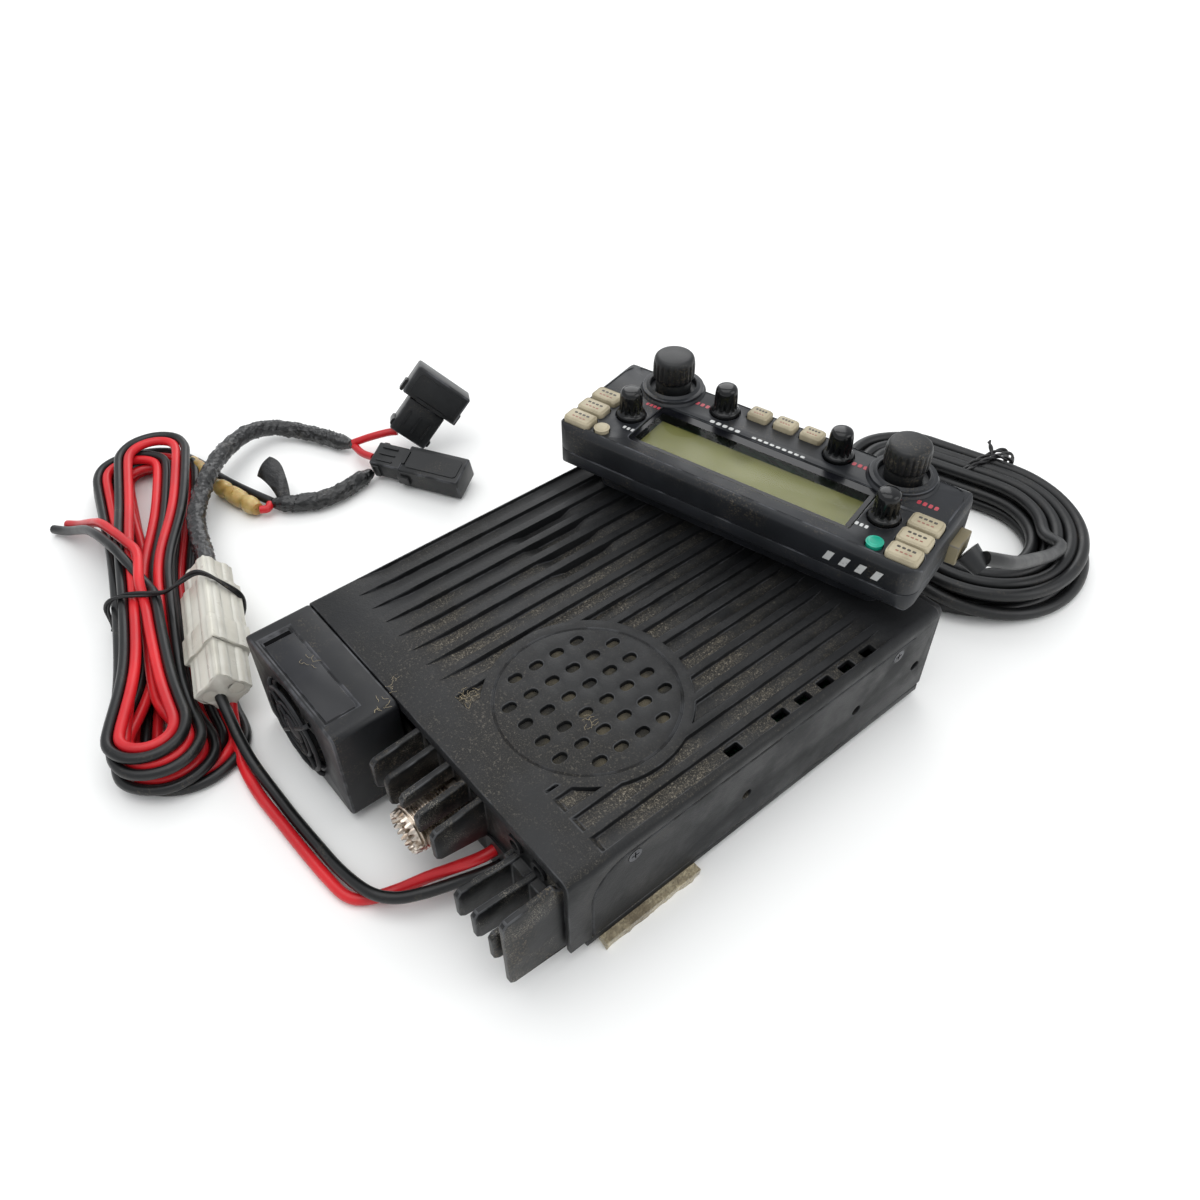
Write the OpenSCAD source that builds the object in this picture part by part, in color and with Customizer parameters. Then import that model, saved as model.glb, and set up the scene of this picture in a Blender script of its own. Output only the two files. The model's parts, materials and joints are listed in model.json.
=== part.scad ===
// Mobile transceiver: a finned main unit, a detachable control head lying on it,
// the fused supply lead and the coiled control cable.

/* [Main unit] */
// Width of the main unit
unit_w = 140; // [136:1:144]
// Length of the top cover, without the rear fan shroud and fins
cover_l = 158; // [154:1:162]
// Height of the case, without its pads
unit_h = 40; // [38:0.5:44]
// Thickness of the hook-and-loop pads under the case
pad_t = 3; // [2:0.5:4]
// Thickness of the grooved top plate
top_t = 4.5; // [4:0.25:6]
// Depth of the grooves in the top plate
groove_d = 2; // [1:0.25:2.5]
// Distance between groove centres
groove_pitch = 8.15; // [7.8:0.05:8.3]
// Width of one groove
groove_w = 5.4; // [4:0.1:6]

/* [Speaker grille] */
// Grille centre, left to right
grille_x = -23.3; // [-26:0.1:-20]
// Grille centre, front to back
grille_y = 33.8; // [30:0.1:38]
// Radius of the smooth plateau around the grille
grille_r = 33; // [31:0.5:34]
// Distance between grille holes
hole_pitch = 8.25; // [7.8:0.05:8.6]

/* [Rear] */
// Distance that the fins stand out behind the cover
fin_reach = 17; // [14:0.5:19]
// Thickness of one fin
fin_t = 2.2; // [1.6:0.1:3]
// Length of the fan shroud behind the cover
shroud_l = 23.5; // [21:0.5:26]
// Radius of the fan rotor
fan_r = 15.2; // [13:0.1:15.4]

/* [Control head] */
// Width of the control head
head_w = 140; // [136:1:144]
// Height of the control head's face
head_h = 50; // [48:1:54]
// Depth of the control head, face to back
head_d = 26.7; // [25:0.1:29]
// Turn of the control head on the main unit
head_turn = 14.4; // [10:0.1:18]
// Radius of a tuning dial
dial_r = 7.7; // [7:0.1:8.2]
// Height of a tuning dial above its pod
dial_h = 13; // [10:0.5:15]
// Radius of a small knob at its top
knob_r = 4.2; // [3.8:0.1:4.6]
// Height of a small knob above the face
knob_h = 11; // [9:0.5:13]
// Travel of the keys
key_travel = 0.6; // [0.4:0.1:1]

/* [Cords] */
// Diameter of one supply wire
wire_d = 3.8; // [3:0.1:4]
// Diameter of the control cable
cable_d = 5; // [4:0.1:5.5]
// Diameter of the taped lead
tape_d = 8; // [7:0.5:9]

/* [Hidden] */
$fn = 48;
eps = 0.02;
gap = 0.2;                          // between pieces of one body
seam = 0.05;                        // between pieces screwed face to face
half_l = cover_l / 2;
half_w = unit_w / 2;
top_z = pad_t + unit_h;             // top of the grooved cover
floor_z = pad_t + 3;                // inside face of the chassis floor
skirt_t = 2;
plate_z = top_z - top_t;            // underside of the grooved plate
groove_x0 = 0.5;                    // centre of the middle groove
groove_first = -8;
groove_last = 8;
front_stop = -57.9;                 // front end of the grooves
front_ramp = 5.6;
rear_stop = 65;
rear_ramp = 14;                     // long rear ramp on the shroud side
near_ramp = 2;                      // short rear ramp behind the grille
pocket_floor = top_z - 3.8;
slot_x = -65;
slot_y0 = 12.6;
slot_pitch = 10.12;
bracket_y = [9, -42.3, -72.7];      // side holes for a mounting bracket
bracket_z = 20.1;
bracket_r = 1.65;
wall_x = half_w - skirt_t - gap;    // outside face of the chassis walls
wall_t = 3.2;
sink_y = half_l - 5;                // front face of the heat sink's wall
sink_back = half_l - 1;
fin_y = half_l + fin_reach;
high_fins = [-29.3, -21.15, -13, -4.85, 3.3];
low_fins = [-61.9, -53.75, -45.6];
shelf_z = 28;
ant_x = -15.5;
ant_z = 23;
ant_r = 7.94;
ant_y = fin_y + 1.2;                // base of the socket's notched end
shroud_x0 = 12.5;
shroud_x1 = half_w - 0.2;
shroud_z0 = 2.6;
shroud_z1 = top_z - 0.4;
shroud_y1 = half_l + shroud_l;
fan_x = (shroud_x0 + shroud_x1) / 2;
fan_z = (shroud_z0 + shroud_z1) / 2;
jack_x = [-45, -56];
jack_z = 33;
jack_r = 1.8;
panel_t = 2.2;
front_jack_x = [-42, 24];           // microphone and control cable sockets
jack_mid = 15;
wire_exit = [-36, 14];               // across and up, in the heat sink's wall
board_z = 12;
post_y = [-57, 62];                 // board posts, front and rear
screw_y = [-60, 55];                // cover screws in both side walls
screw_z = 34;

// the control head's own frame: origin under its middle, +Y towards the upper edge of its face
head_pos = [5.1, -66.3, 0];
back_z = top_z + 0.3;
face_z = back_z + head_d;
split_z = face_z - 10.8;            // parting line of the two shells
rim_z = split_z - 7.4;              // underside of the back shell's rim
key_x = 62.5;
key_y = [18.8, 10.6, 2];
lower_key_x = [-10.6, 0, 10.6];
lower_key_y = -20;
volume_at = [49.6, 5.5];
squelch_at = [22.7, -15.8];
dial_at = [46, -17];
button_at = [52.7, 19.4];
key_foot = -7.4 - key_travel;        // lower end of a key's plunger, below the face
pod_r = 11.5;
pod_z = face_z + 2;
lcd = [82, 18.5];
lcd_y = 6.8;
lens = [85.6, 23.8];                // window with the clear strip below the display
lens_y = 5.9;
head_board_z = face_z - 15;
shaft_r = 2;

// cord routes, chosen by hand: points are [x, y, z] on the cord's centre line
black_route = [[-37, 76, 12.6], [-36.97, 79, 12.6], [-36.4, 82.2, 12.55], [-34.8, 86.3, 11.7], [-32, 91.2, 9.8],
               [-27.6, 101.2, 8.4], [-22.5, 108.6, 7], [-15.3, 113.4, 6.4], [-2.3, 115.8, 4.2],
               [11.7, 116.6, 2.6], [26, 117.3, 2.2], [39, 117.6, 2.4], [51.3, 118, 4.8],
               [60.4, 117.6, 8.6], [68.7, 116.5, 12.6], [77.4, 115.2, 15.6], [86, 113.2, 17]];
red_route = [[-33.6, 76, 16.3], [-33.58, 79, 16.3], [-33.1, 82.2, 15.9], [-31.6, 85.8, 14.8], [-27.9, 90.8, 11.4],
             [-23.4, 97.6, 7.6], [-19.1, 105.2, 3.6], [-14.9, 114.1, 2.2], [-9.8, 118.5, 2.2],
             [0, 120, 2.2], [12, 120.8, 2.2], [26, 121.4, 2.2], [41, 121.9, 2.2], [54.5, 120.7, 2.2],
             [66, 117.3, 3.8], [74, 113.8, 8.6], [79, 110.7, 13.4], [84.2, 108, 17]];
lead_a_route = [[135.5, 92.3, 17], [145, 89, 16.6], [156, 86.4, 15], [168, 83, 14], [177, 78.5, 14],
                [187.5, 71.5, 14], [196.5, 64.5, 14], [205, 56.5, 13], [213, 47, 11.5], [219, 36, 9.5],
                [220, 25, 7], [213, 16, 5], [202, 9, 4.4], [193, 4.8, 4.6], [187, 2, 5.2]];
lead_b_route = [[163.5, 5.5, 4.4], [162, 14, 4.4], [160.6, 23, 4.4], [161.5, 33, 4.4],
                [166.5, 42, 4.4], [172.5, 49, 4.4]];
short_d = 3.4;                      // diameter of the short wires at the fuses
fuse_wire_1 = [[186, 1.4, 6], [181, -5, 9], [176.5, -12, 10.8], [173.8, -15.4, 11.2]];
fuse_wire_2 = [[184.5, 1.6, 5], [176.5, 2.2, 6], [168.2, 1, 7.8]];
splice_wire = [[172.8, 50, 4.4], [170.6, 52.4, 4.4], [172, 55.2, 4.4]];
bare_black = [[163, 115, 19.5], [171, 115.8, 19.4], [182, 117, 18.6], [194, 118.5, 14], [204, 121, 8.5],
              [212, 123.8, 4.4], [219, 127, 2.4]];
bare_red = [[158, 109.5, 19.5], [167, 110, 19.5], [178, 111.4, 19.2], [190, 113, 17], [201, 115, 11],
            [211, 118.2, 5.2], [218, 121.4, 2.6]];
cable_route = [[-71, -95.6, 57.4], [-73.5, -103, 53.5], [-74, -113, 47], [-73, -125, 40],
               [-71.5, -138, 32.5], [-70, -150, 25.5], [-68.5, -160, 20.5], [-67, -168, 18.3]];
jack_route = [[24, -96, 15], [22, -103, 13.5], [20, -112, 11.5], [18.5, -122, 9.5], [17.5, -133, 8.5]];

// the hank's frame: middle of the bundle, +X towards the end away from the main unit
hank_pos = [151, 107, 0];
hank_turn = -18.4;
hank_half = 100;
hank_side = 21.5;
hank_z0 = 0.3;
hank_step = 5.2;                    // the connector lies on the strands below this height
hank_h = 17;
tie_x = -19;
tie_turn = -20;
tie_w = 2.6;
// the connector is rolled onto one edge against the hank
connector_pos = [75, 114.2, 17.2];
connector_turn = -20;
connector_roll = -42;
fuse_a_pos = [169.3, -28.7, 19.9];
fuse_a_turn = [63, -45.5, -100];
fuse_b_pos = [155.3, -6.3, 7.9];
fuse_b_turn = [15, 0, -150.6];
// the cable's coil: two round ends of different size
coil_big = [-33, -160];
coil_big_r = 48;
coil_small = [4, -166];
coil_small_r = 31;
coil_band = 26;
coil_h = 16;
coil_z0 = 0.4;

// ---------------------------------------------------------------- shared shapes
// rectangle with round corners, centred
module rr(w, h, r) {
    square([w - 2 * r, h], center = true);
    square([w, h - 2 * r], center = true);
    for (x = [-1, 1], y = [-1, 1]) translate([x * (w / 2 - r), y * (h / 2 - r)]) circle(r);
}

// slot with round ends, standing along Y
module slot_shape(w, l) {
    square([w, l - w], center = true);
    for (y = [-1, 1]) translate([0, y * (l - w) / 2]) circle(w / 2);
}

// two round ends joined by straight sides, from p to q
module stadium(p, q, r) {
    d = q - p;
    turn = atan2(d[1], d[0]);
    for (c = [p, q]) translate(c) circle(r);
    translate((p + q) / 2) rotate(turn) square([norm(d), 2 * r], center = true);
}

// extrusion along Y of a shape drawn in X and Z
module along_y(y0, y1) {
    translate([0, y1, 0]) rotate([90, 0, 0]) linear_extrude(y1 - y0) children();
}

// extrusion along X of a shape drawn in Y and Z
module along_x(x0, x1) {
    translate([x0, 0, 0]) rotate([90, 0, 90]) linear_extrude(x1 - x0) children();
}

module box(lo, hi) {
    translate(lo) cube(hi - lo);
}

module bore_y(x, z, r, y0, y1) {
    translate([x, y1, z]) rotate([90, 0, 0]) cylinder(r = r, h = y1 - y0);
}

module in_head() {
    translate(head_pos) rotate(head_turn) children();
}

function unit(v) = v / norm(v);

// tube of radius r and n sides along a list of points
module tube(path, r, n) {
    last = len(path) - 1;
    rings = [for (i = [0:last])
        let (t = unit(path[min(i + 1, last)] - path[max(i - 1, 0)]),
             s = unit(cross(t, [0, 0, 1])), u = cross(s, t))
        for (k = [0:n - 1]) path[i] + r * (cos(360 * k / n) * s + sin(360 * k / n) * u)];
    sides = [for (i = [0:last - 1], k = [0:n - 1], half = [0, 1])
        half == 0 ? [i * n + k, i * n + (k + 1) % n, (i + 1) * n + (k + 1) % n]
                  : [i * n + k, (i + 1) * n + (k + 1) % n, (i + 1) * n + k]];
    polyhedron(rings, concat(sides, [[for (k = [n - 1:-1:0]) k]],
                             [[for (k = [0:n - 1]) last * n + k]]), convexity = 8);
}

// ---------------------------------------------------------------- main unit
module chassis() color("#3a3b3c") {
    difference() {
        union() {
            box([-half_w, -half_l, pad_t], [half_w, half_l - 6, floor_z]);
            for (s = [-1, 1]) scale([s, 1, 1])
                box([wall_x - wall_t, -half_l + 4, floor_z + seam], [wall_x, sink_y - 1, plate_z - 1]);
            for (s = [-1, 1], y = bracket_y) scale([s, 1, 1])
                box([wall_x - 8, y - 4.5, floor_z + seam],
                    [wall_x - wall_t + eps, y + 4.5, bracket_z + 5]);
            for (s = [-1, 1], y = post_y) translate([s * 55, y, floor_z - eps])
                cylinder(r = 3.5, h = board_z - floor_z);
        }
        at_screws() cylinder(r = 1.36, h = 9);
        for (s = [-1, 1], y = bracket_y) translate([s * (wall_x - 9), y, bracket_z])
            rotate([0, s * 90, 0]) cylinder(r = bracket_r, h = 10);
    }
}

module groove_profile(rear_len) {
    polygon([[front_stop, top_z + 1], [front_stop, top_z + eps],
             [front_stop + front_ramp, top_z - groove_d],
             [rear_stop - rear_len, top_z - groove_d], [rear_stop, top_z + eps], [rear_stop, top_z + 1]]);
}

module groove_cuts() {
    difference() {
        union() {
            for (k = [groove_first:groove_last]) {
                x = groove_x0 + k * groove_pitch;
                along_x(x - groove_w / 2, x + groove_w / 2)
                    groove_profile(k > 0 ? rear_ramp : near_ramp);
            }
        }
        translate([grille_x, grille_y, pad_t]) cylinder(r = grille_r, h = unit_h + 5, $fn = 96);
        // behind the grille the plate stays smooth
        box([-42, grille_y, pad_t], [-4, half_l, top_z + 5]);
    }
    // deep pockets near the middle of four grooves
    for (k = [3:6]) {
        x = groove_x0 + k * groove_pitch;
        along_x(x - groove_w / 2, x + groove_w / 2)
            polygon([[-20, top_z - groove_d + 0.2], [-15, pocket_floor], [2, pocket_floor],
                     [9, top_z - groove_d + 0.2]]);
    }
}

module grille_holes() {
    for (i = [0:5], j = [0:5]) {
        corner = (i == 0 || i == 5) && (j == 0 || j == 5);
        if (!corner)
            translate([grille_x + (i - 2.5) * hole_pitch, grille_y + (j - 2.5) * hole_pitch, plate_z - 1])
                linear_extrude(top_t + 2) slot_shape(3.2, 4.8);
    }
}

module top_cover() color("#2b2c2d") {
    difference() {
        along_y(-half_l, half_l) difference() {
            translate([0, top_z - 20]) rr(unit_w, unit_h, 3);
            translate([-half_w - 1, -20]) square([unit_w + 2, 20 + floor_z + gap]);
            translate([0, (plate_z - 20) / 2]) square([unit_w - 2 * skirt_t, plate_z + 20], center = true);
        }
        groove_cuts();
        grille_holes();
        translate([grille_x, grille_y, top_z - 0.35]) difference() {
            cylinder(r = 29.3, h = 2, $fn = 96);
            translate([0, 0, -1]) cylinder(r = 28.8, h = 4, $fn = 96);
        }
        for (k = [0:6]) if (k != 1)
            translate([slot_x, slot_y0 - k * slot_pitch, plate_z - 1]) linear_extrude(top_t + 2)
                rr(3.2, 5.6, 0.6);
        for (s = [-1, 1], y = bracket_y) translate([s * (half_w - 4), y, bracket_z])
            rotate([0, s * 90, 0]) cylinder(r = 1.95, h = 6);
        at_screws() {
            translate([0, 0, -0.1]) cylinder(r1 = 2.6, r2 = 1.7, h = 1.4);
            cylinder(r = 1.4, h = 9);
        }
        // shallow outline of the pressed side panel
        for (s = [-1, 1]) scale([s, 1, 1]) along_x(half_w - 0.5, half_w + 1) difference() {
            translate([-4, 16]) rr(150, 44, 14);
            translate([-4, 16]) rr(148.8, 42.8, 13.4);
            translate([-half_l - 9, -20]) square([20, 80]);
        }
    }
}

// fin from the wall out to tip_y; root_z is the height of its upper edge at the wall
module fin(x, tip_y, root, tip) {
    along_x(x - fin_t / 2, x + fin_t / 2) polygon([
        [sink_back - eps, root[0]], [sink_back - eps, root[1]], [tip_y - 1.4, tip[1]],
        [tip_y, tip[1] - 1.6], [tip_y, tip[0] + 1.6], [tip_y - 1.6, tip[0]]]);
}

module heat_sink() color("#2a2a2b") {
    difference() {
        union() {
            box([-wall_x, sink_y, floor_z + gap], [half_w - 1 - skirt_t, sink_back, plate_z - gap]);
            for (x = high_fins) fin(x, fin_y, [20, plate_z - gap], [23.4, 36.6]);
            for (x = low_fins) fin(x, fin_y + 3.6, [14, shelf_z + 0.4], [18, shelf_z + 2.6]);
            // shelf that the low fins stand out from, below the speaker sockets
            box([-65, sink_back - eps, 12], [-42.6, sink_back + 3.2, shelf_z]);
            // side plate behind the bracket side
            along_x(-67, -64.8) polygon([[sink_back - eps, 6], [sink_back - eps, plate_z - gap],
                [half_l + 0.3, plate_z - gap], [half_l + 2, 40.6], [half_l + 17.6, 40.2],
                [half_l + 19, 38.6], [half_l + 19, 9], [half_l + 17.4, 7.4]]);
        }
        // room for the antenna connector between the fins
        bore_y(ant_x, ant_z, ant_r + 0.9, sink_back, fin_y + 5);
        bore_y(ant_x, ant_z, 6.2, sink_y - 1, sink_back + 1);
        // wire exit and speaker jack holes
        translate([wire_exit[0], sink_back + 1, wire_exit[1]]) rotate([90, 0, 0])
            linear_extrude(8) rr(10.1, 12.1, 3);
        for (x = jack_x) bore_y(x, jack_z, 3.2, sink_y - 1, sink_back + 1);
        // air way into the fan shroud
        bore_y(fan_x, fan_z, fan_r - 1, sink_y - 1, sink_back + 1);
    }
}

module front_panel() color("#303132") {
    difference() {
        along_y(-half_l - panel_t, -half_l) translate([0, pad_t + unit_h / 2])
            rr(unit_w - 1, unit_h - 0.6, 2.5);
        for (x = front_jack_x)
            box([x - 6.6, -half_l - 5, jack_mid - 5.6], [x + 6.6, -half_l + 2, jack_mid + 5.6]);
    }
}

module fan_shroud() color("#333436") {
    difference() {
        along_y(half_l + gap, shroud_y1) translate([fan_x, fan_z])
            rr(shroud_x1 - shroud_x0, shroud_z1 - shroud_z0, 2.6);
        along_y(half_l, shroud_y1 - 2) translate([fan_x, fan_z])
            rr(shroud_x1 - shroud_x0 - 4.4, shroud_z1 - shroud_z0 - 4.4, 1.4);
        bore_y(fan_x, fan_z, fan_r + 0.9, shroud_y1 - 5, shroud_y1 + 2);
        box([19.8, half_l + 10.3, shroud_z1 - 0.9], [63.4, half_l + 21.2, shroud_z1 + 1]);
    }
}

module shroud_label() color("#3d3e41") {
    box([20, half_l + 10.5, shroud_z1 - 0.9], [60.2, half_l + 21, shroud_z1 - 0.1]);
}

module fan_frame() color("#1c1c1d") {
    difference() {
        union() {
            difference() {
                along_y(shroud_y1 - 13, shroud_y1 - 2.2) translate([fan_x, fan_z]) rr(35, 35, 3);
                bore_y(fan_x, fan_z, fan_r + 0.7, shroud_y1 - 14, shroud_y1);
            }
            // motor base held by three arms at the intake side
            for (a = [90, 210, 330]) translate([fan_x, shroud_y1 - 13, fan_z]) rotate([0, a, 0])
                translate([0, 0, -1.2]) cube([fan_r + 1.2, 1.6, 2.4]);
            bore_y(fan_x, fan_z, 6.4, shroud_y1 - 13, shroud_y1 - 11);
        }
        bore_y(fan_x, fan_z, 1.05, shroud_y1 - 15, shroud_y1 - 10);
    }
}

module fan_rotor() color("#232324") {
    union() {
        bore_y(fan_x, fan_z, 6.6, shroud_y1 - 10.6, shroud_y1 - 3.2);
        bore_y(fan_x, fan_z, 1, shroud_y1 - 12.9, shroud_y1 - 10);
        for (k = [0:6]) translate([fan_x, shroud_y1 - 6.9, fan_z]) rotate([0, k * 360 / 7, 0])
            translate([5.8, 0, 0]) rotate([38, 0, 0]) translate([0, -0.5, -3.6])
                cube([fan_r - 6, 1, 7.2]);
    }
}

module fan_guard() color("#161617") {
    union() {
        for (r = [5.5, 10.5, fan_r + 0.6]) along_y(shroud_y1 + 0.9, shroud_y1 + 2.4)
            translate([fan_x, fan_z]) difference() {
                circle(r);
                circle(r - 1.3);
            }
        for (a = [45:90:315]) translate([fan_x, shroud_y1 + 0.9, fan_z]) rotate([0, a, 0])
            translate([4.5, 0, -0.8]) cube([fan_r - 2, 1.4, 1.6]);
        for (a = [45:90:315]) translate([fan_x, shroud_y1 + gap, fan_z]) rotate([0, a, 0])
            translate([fan_r + 1, 0, -1.6]) cube([2.2, 2, 3.2]);
    }
}

module speaker() color("#4a4a4c") {
    translate([grille_x, grille_y, 0]) {
        rotate_extrude($fn = 96) polygon([[0, 17], [11, 17], [11, 24], [13, 26], [22, 34], [29, 34.4],
            [29, plate_z - gap], [27.5, plate_z - gap], [27.5, 36], [21, 35.4], [9, 28], [0, 27]]);
    }
}

module main_board() color("#1f5a3a") {
    difference() {
        union() {
            box([-59, -63, board_z + gap], [59, 68, board_z + 1.8]);
            box([10, 20, board_z + 1.7], [40, 50, board_z + 6]);
            box([-30, -50, board_z + 1.7], [-5, -30, board_z + 5]);
            for (x = [20:12:56]) translate([x, -2, board_z + 1.7]) cylinder(r = 4, h = 10);
        }
        for (s = [-1, 1], y = post_y) translate([s * 55, y, board_z - 1]) cylinder(r = 1.6, h = 5);
    }
}

module rf_shield() color("#b8bab9") {
    difference() {
        box([8, -62, board_z + 2], [50, -14, board_z + 13]);
        box([9, -61, board_z + 1], [49, -15, board_z + 12]);
    }
}

module antenna_shell() color("#a99b86") {
    difference() {
        union() {
            bore_y(ant_x, ant_z, 6, sink_y, sink_back + 3);
            bore_y(ant_x, ant_z, ant_r, sink_back + gap, ant_y);
            for (k = [0:19]) translate([ant_x, ant_y - 0.2, ant_z]) rotate([0, k * 18, 0])
                translate([6.1, 0, -0.7]) cube([1.7, 1.7, 1.4]);
        }
        bore_y(ant_x, ant_z, 5.6, sink_back + 6, fin_y + 5);
        bore_y(ant_x, ant_z, 4.5, sink_y - 1, fin_y + 5);
    }
}

module antenna_insulator() color("#d8d0bc") {
    difference() {
        union() {
            bore_y(ant_x, ant_z, 4.4, sink_y, sink_back + 8);
            bore_y(ant_x, ant_z, 3, sink_back + 7, sink_back + 14);
        }
        bore_y(ant_x, ant_z, 2, sink_back + 4, fin_y + 5);
    }
}

module speaker_jacks() color("#141414") {
    for (x = jack_x) difference() {
        union() {
            box([x - 4, sink_y - 12, jack_z - 4], [x + 4, sink_y - gap, jack_z + 4]);
            bore_y(x, jack_z, 3.1, sink_y - 1, sink_back + 0.8);
        }
        bore_y(x, jack_z, jack_r, sink_y - 11, sink_back + 2);
    }
}

// microphone socket and control cable socket
module front_jacks() color("#202021") {
    for (x = front_jack_x) difference() {
        box([x - 7.6, -half_l + gap, jack_mid - 7], [x + 7.6, -half_l + 15, jack_mid + 7]);
        box([x - 5.6, -half_l - 2, jack_mid - 4.6], [x + 5.6, -half_l + 13, jack_mid + 4.6]);
    }
}

module power_grommet() color("#121212") {
    difference() {
        translate([wire_exit[0], sink_back + 1, wire_exit[1]]) rotate([90, 0, 0]) union() {
            linear_extrude(7) rr(9.6, 11.6, 2.8);
            linear_extrude(1) rr(13, 15, 3.4);
        }
        for (p = [black_route[0], red_route[0]])
            bore_y(p[0], p[2], wire_d / 2 + 0.2, sink_y - 8, sink_back + 2);
    }
}

module grip_pads() color("#b9ad90") {
    box([-73, 30, 0], [60, 68, pad_t - 0.05]);
    box([-60, -18, 0], [60, 18, pad_t - 0.05]);
    box([-60, -70, 0], [60, -34, pad_t - 0.05]);
}

// places something at each cover screw, its Z pointing into the case
module at_screws() {
    for (s = [-1, 1], y = screw_y) translate([s * (half_w + 0.02), y, screw_z]) rotate([0, -s * 90, 0])
        children();
}

module cover_screws() color("#55565a") at_screws() {
    difference() {
        cylinder(r1 = 2.4, r2 = 1.6, h = 1.2);
        for (a = [0, 90]) rotate(a) translate([-1.4, -0.25, -1]) cube([2.8, 0.5, 1.6]);
    }
    translate([0, 0, 1.1]) cylinder(r = 1.3, h = 5.5);
}

// ---------------------------------------------------------------- control head
// outer form of the control head between two heights
module head_form(z0, z1) {
    intersection() {
        translate([0, 0, back_z]) linear_extrude(head_d) rr(head_w, head_h, 6.5);
        along_x(-head_w, head_w) translate([0, back_z + head_d / 2]) rr(head_h, head_d, 3.2);
        along_y(-head_h, head_h) translate([0, back_z + head_d / 2]) rr(head_w, head_d, 3.2);
        box([-head_w, -head_h, z0], [head_w, head_h, z1]);
    }
}

module at_pairs(p) {
    for (s = [-1, 1]) translate([s * p[0], p[1], 0]) children();
}

module head_bezel() color("#3b3c40") in_head() {
    difference() {
        union() {
            difference() {
                head_form(split_z, face_z + 1);
                translate([0, 0, split_z - 1]) linear_extrude(head_d) rr(head_w - 5, head_h - 5, 6);
            }
            translate([0, 0, face_z - 2.6]) linear_extrude(2.6) rr(head_w - 4.9, head_h - 4.9, 6);
            at_pairs(dial_at) translate([0, 0, face_z - 9]) cylinder(r = pod_r, h = pod_z - face_z + 9);
            at_pairs(squelch_at) translate([0, 0, face_z - 6]) cylinder(r = 7, h = 6);
            at_pairs(volume_at) translate([0, 0, face_z - 6]) cylinder(r = 7, h = 6);
        }
        // display window
        translate([0, lens_y, face_z - 4]) linear_extrude(6) rr(lens[0] + 0.4, lens[1] + 0.4, 2);
        translate([0, lcd_y, face_z - 12]) linear_extrude(14)
            square([lcd[0] + 2, lcd[1] + 1.4], center = true);
        // keys and buttons
        for (y = key_y) at_pairs([key_x, y])
            translate([0, 0, face_z - 6]) linear_extrude(8) rr(11.7, 7.7, 1.8);
        for (x = lower_key_x) translate([x, lower_key_y, face_z - 6]) linear_extrude(8) rr(8.7, 6.9, 1.4);
        at_pairs(button_at) translate([0, 0, face_z - 6]) cylinder(r = 2.95, h = 8);
        // knob recesses and their shaft holes
        at_pairs(volume_at) {
            translate([0, 0, face_z - 1.6]) cylinder(r = 5.7, h = 3);
            translate([0, 0, face_z - 8]) cylinder(r = 3.3, h = 8);
        }
        at_pairs(squelch_at) {
            translate([0, 0, face_z - 1.6]) cylinder(r = 5.7, h = 3);
            translate([0, 0, face_z - 8]) cylinder(r = 3.3, h = 8);
        }
        at_pairs(dial_at) {
            translate([0, 0, pod_z - 1.8]) cylinder(r = 8.6, h = 3);
            translate([0, 0, face_z - 10]) cylinder(r = 4.2, h = 14);
        }
        intersection() {
            at_pairs(dial_at) translate([0, 0, face_z - 10]) cylinder(r = pod_r - 2.4, h = 7);
            translate([0, 0, split_z - 1]) linear_extrude(head_d) rr(head_w - 5, head_h - 5, 6);
        }
        // step below the side keys
        for (s = [-1, 1]) scale([s, 1, 1])
            box([50, -2.9, face_z - 0.5], [head_w / 2 + 1, -2.2, face_z + 1]);
        // cable plug socket in the end wall
        box([-head_w / 2 - 1, -16, split_z - 6], [-head_w / 2 + 6, -4, split_z + 2.6]);
    }
}

module head_back() color("#343538") in_head() {
    difference() {
        union() {
            intersection() {
                head_form(back_z, split_z - 0.1);
                along_x(-head_w, head_w) translate([0, rim_z + head_d / 2]) rr(head_h, head_d, 3.6);
                along_y(-head_h, head_h) translate([0, rim_z + head_d / 2]) rr(head_w, head_d, 3.6);
            }
            translate([0, 0, back_z]) linear_extrude(rim_z - back_z + 1) rr(head_w - 26, head_h - 16, 5);
        }
        translate([0, 0, rim_z + 2]) linear_extrude(head_d) rr(head_w - 5, head_h - 5, 6);
        // slide rails for the mounting foot
        for (s = [-1, 1]) translate([s * 30, 0, back_z - 1]) linear_extrude(4) rr(6, 26, 1.5);
        box([-head_w / 2 - 1, -16, split_z - 7.6], [-head_w / 2 + 6, -4, split_z + 2.6]);
    }
}

module display_lens() color("#6d7061") in_head() {
    translate([0, lens_y, face_z - 3.8]) linear_extrude(3.4) rr(lens[0], lens[1], 1.8);
}

module display_panel() color("#97975f") in_head() {
    translate([0, lcd_y, face_z - 9]) linear_extrude(5) square([lcd[0], lcd[1]], center = true);
}

module head_board() color("#20583b") in_head() {
    translate([0, 0, head_board_z]) linear_extrude(1.6) rr(head_w - 12, head_h - 6.4, 4);
}

module control_pots() color("#8a8c8e") in_head() {
    for (p = [volume_at, squelch_at]) at_pairs(p) difference() {
        union() {
            translate([-5, -4.6, head_board_z + 1.8]) cube([10, 9.2, 5.4]);
            translate([0, 0, head_board_z + 7]) cylinder(r = 3.1, h = face_z - head_board_z - 9);
        }
        translate([0, 0, head_board_z + 4]) cylinder(r = shaft_r + 0.05, h = 20);
    }
    at_pairs(dial_at) difference() {
        union() {
            translate([-5.2, -4.6, head_board_z + 1.8]) cube([10.4, 9.2, 5]);
            translate([0, 0, head_board_z + 6]) cylinder(r = 3.9, h = face_z - head_board_z - 6.4);
        }
        translate([0, 0, head_board_z + 4]) cylinder(r = shaft_r + 0.05, h = 20);
    }
}

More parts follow.
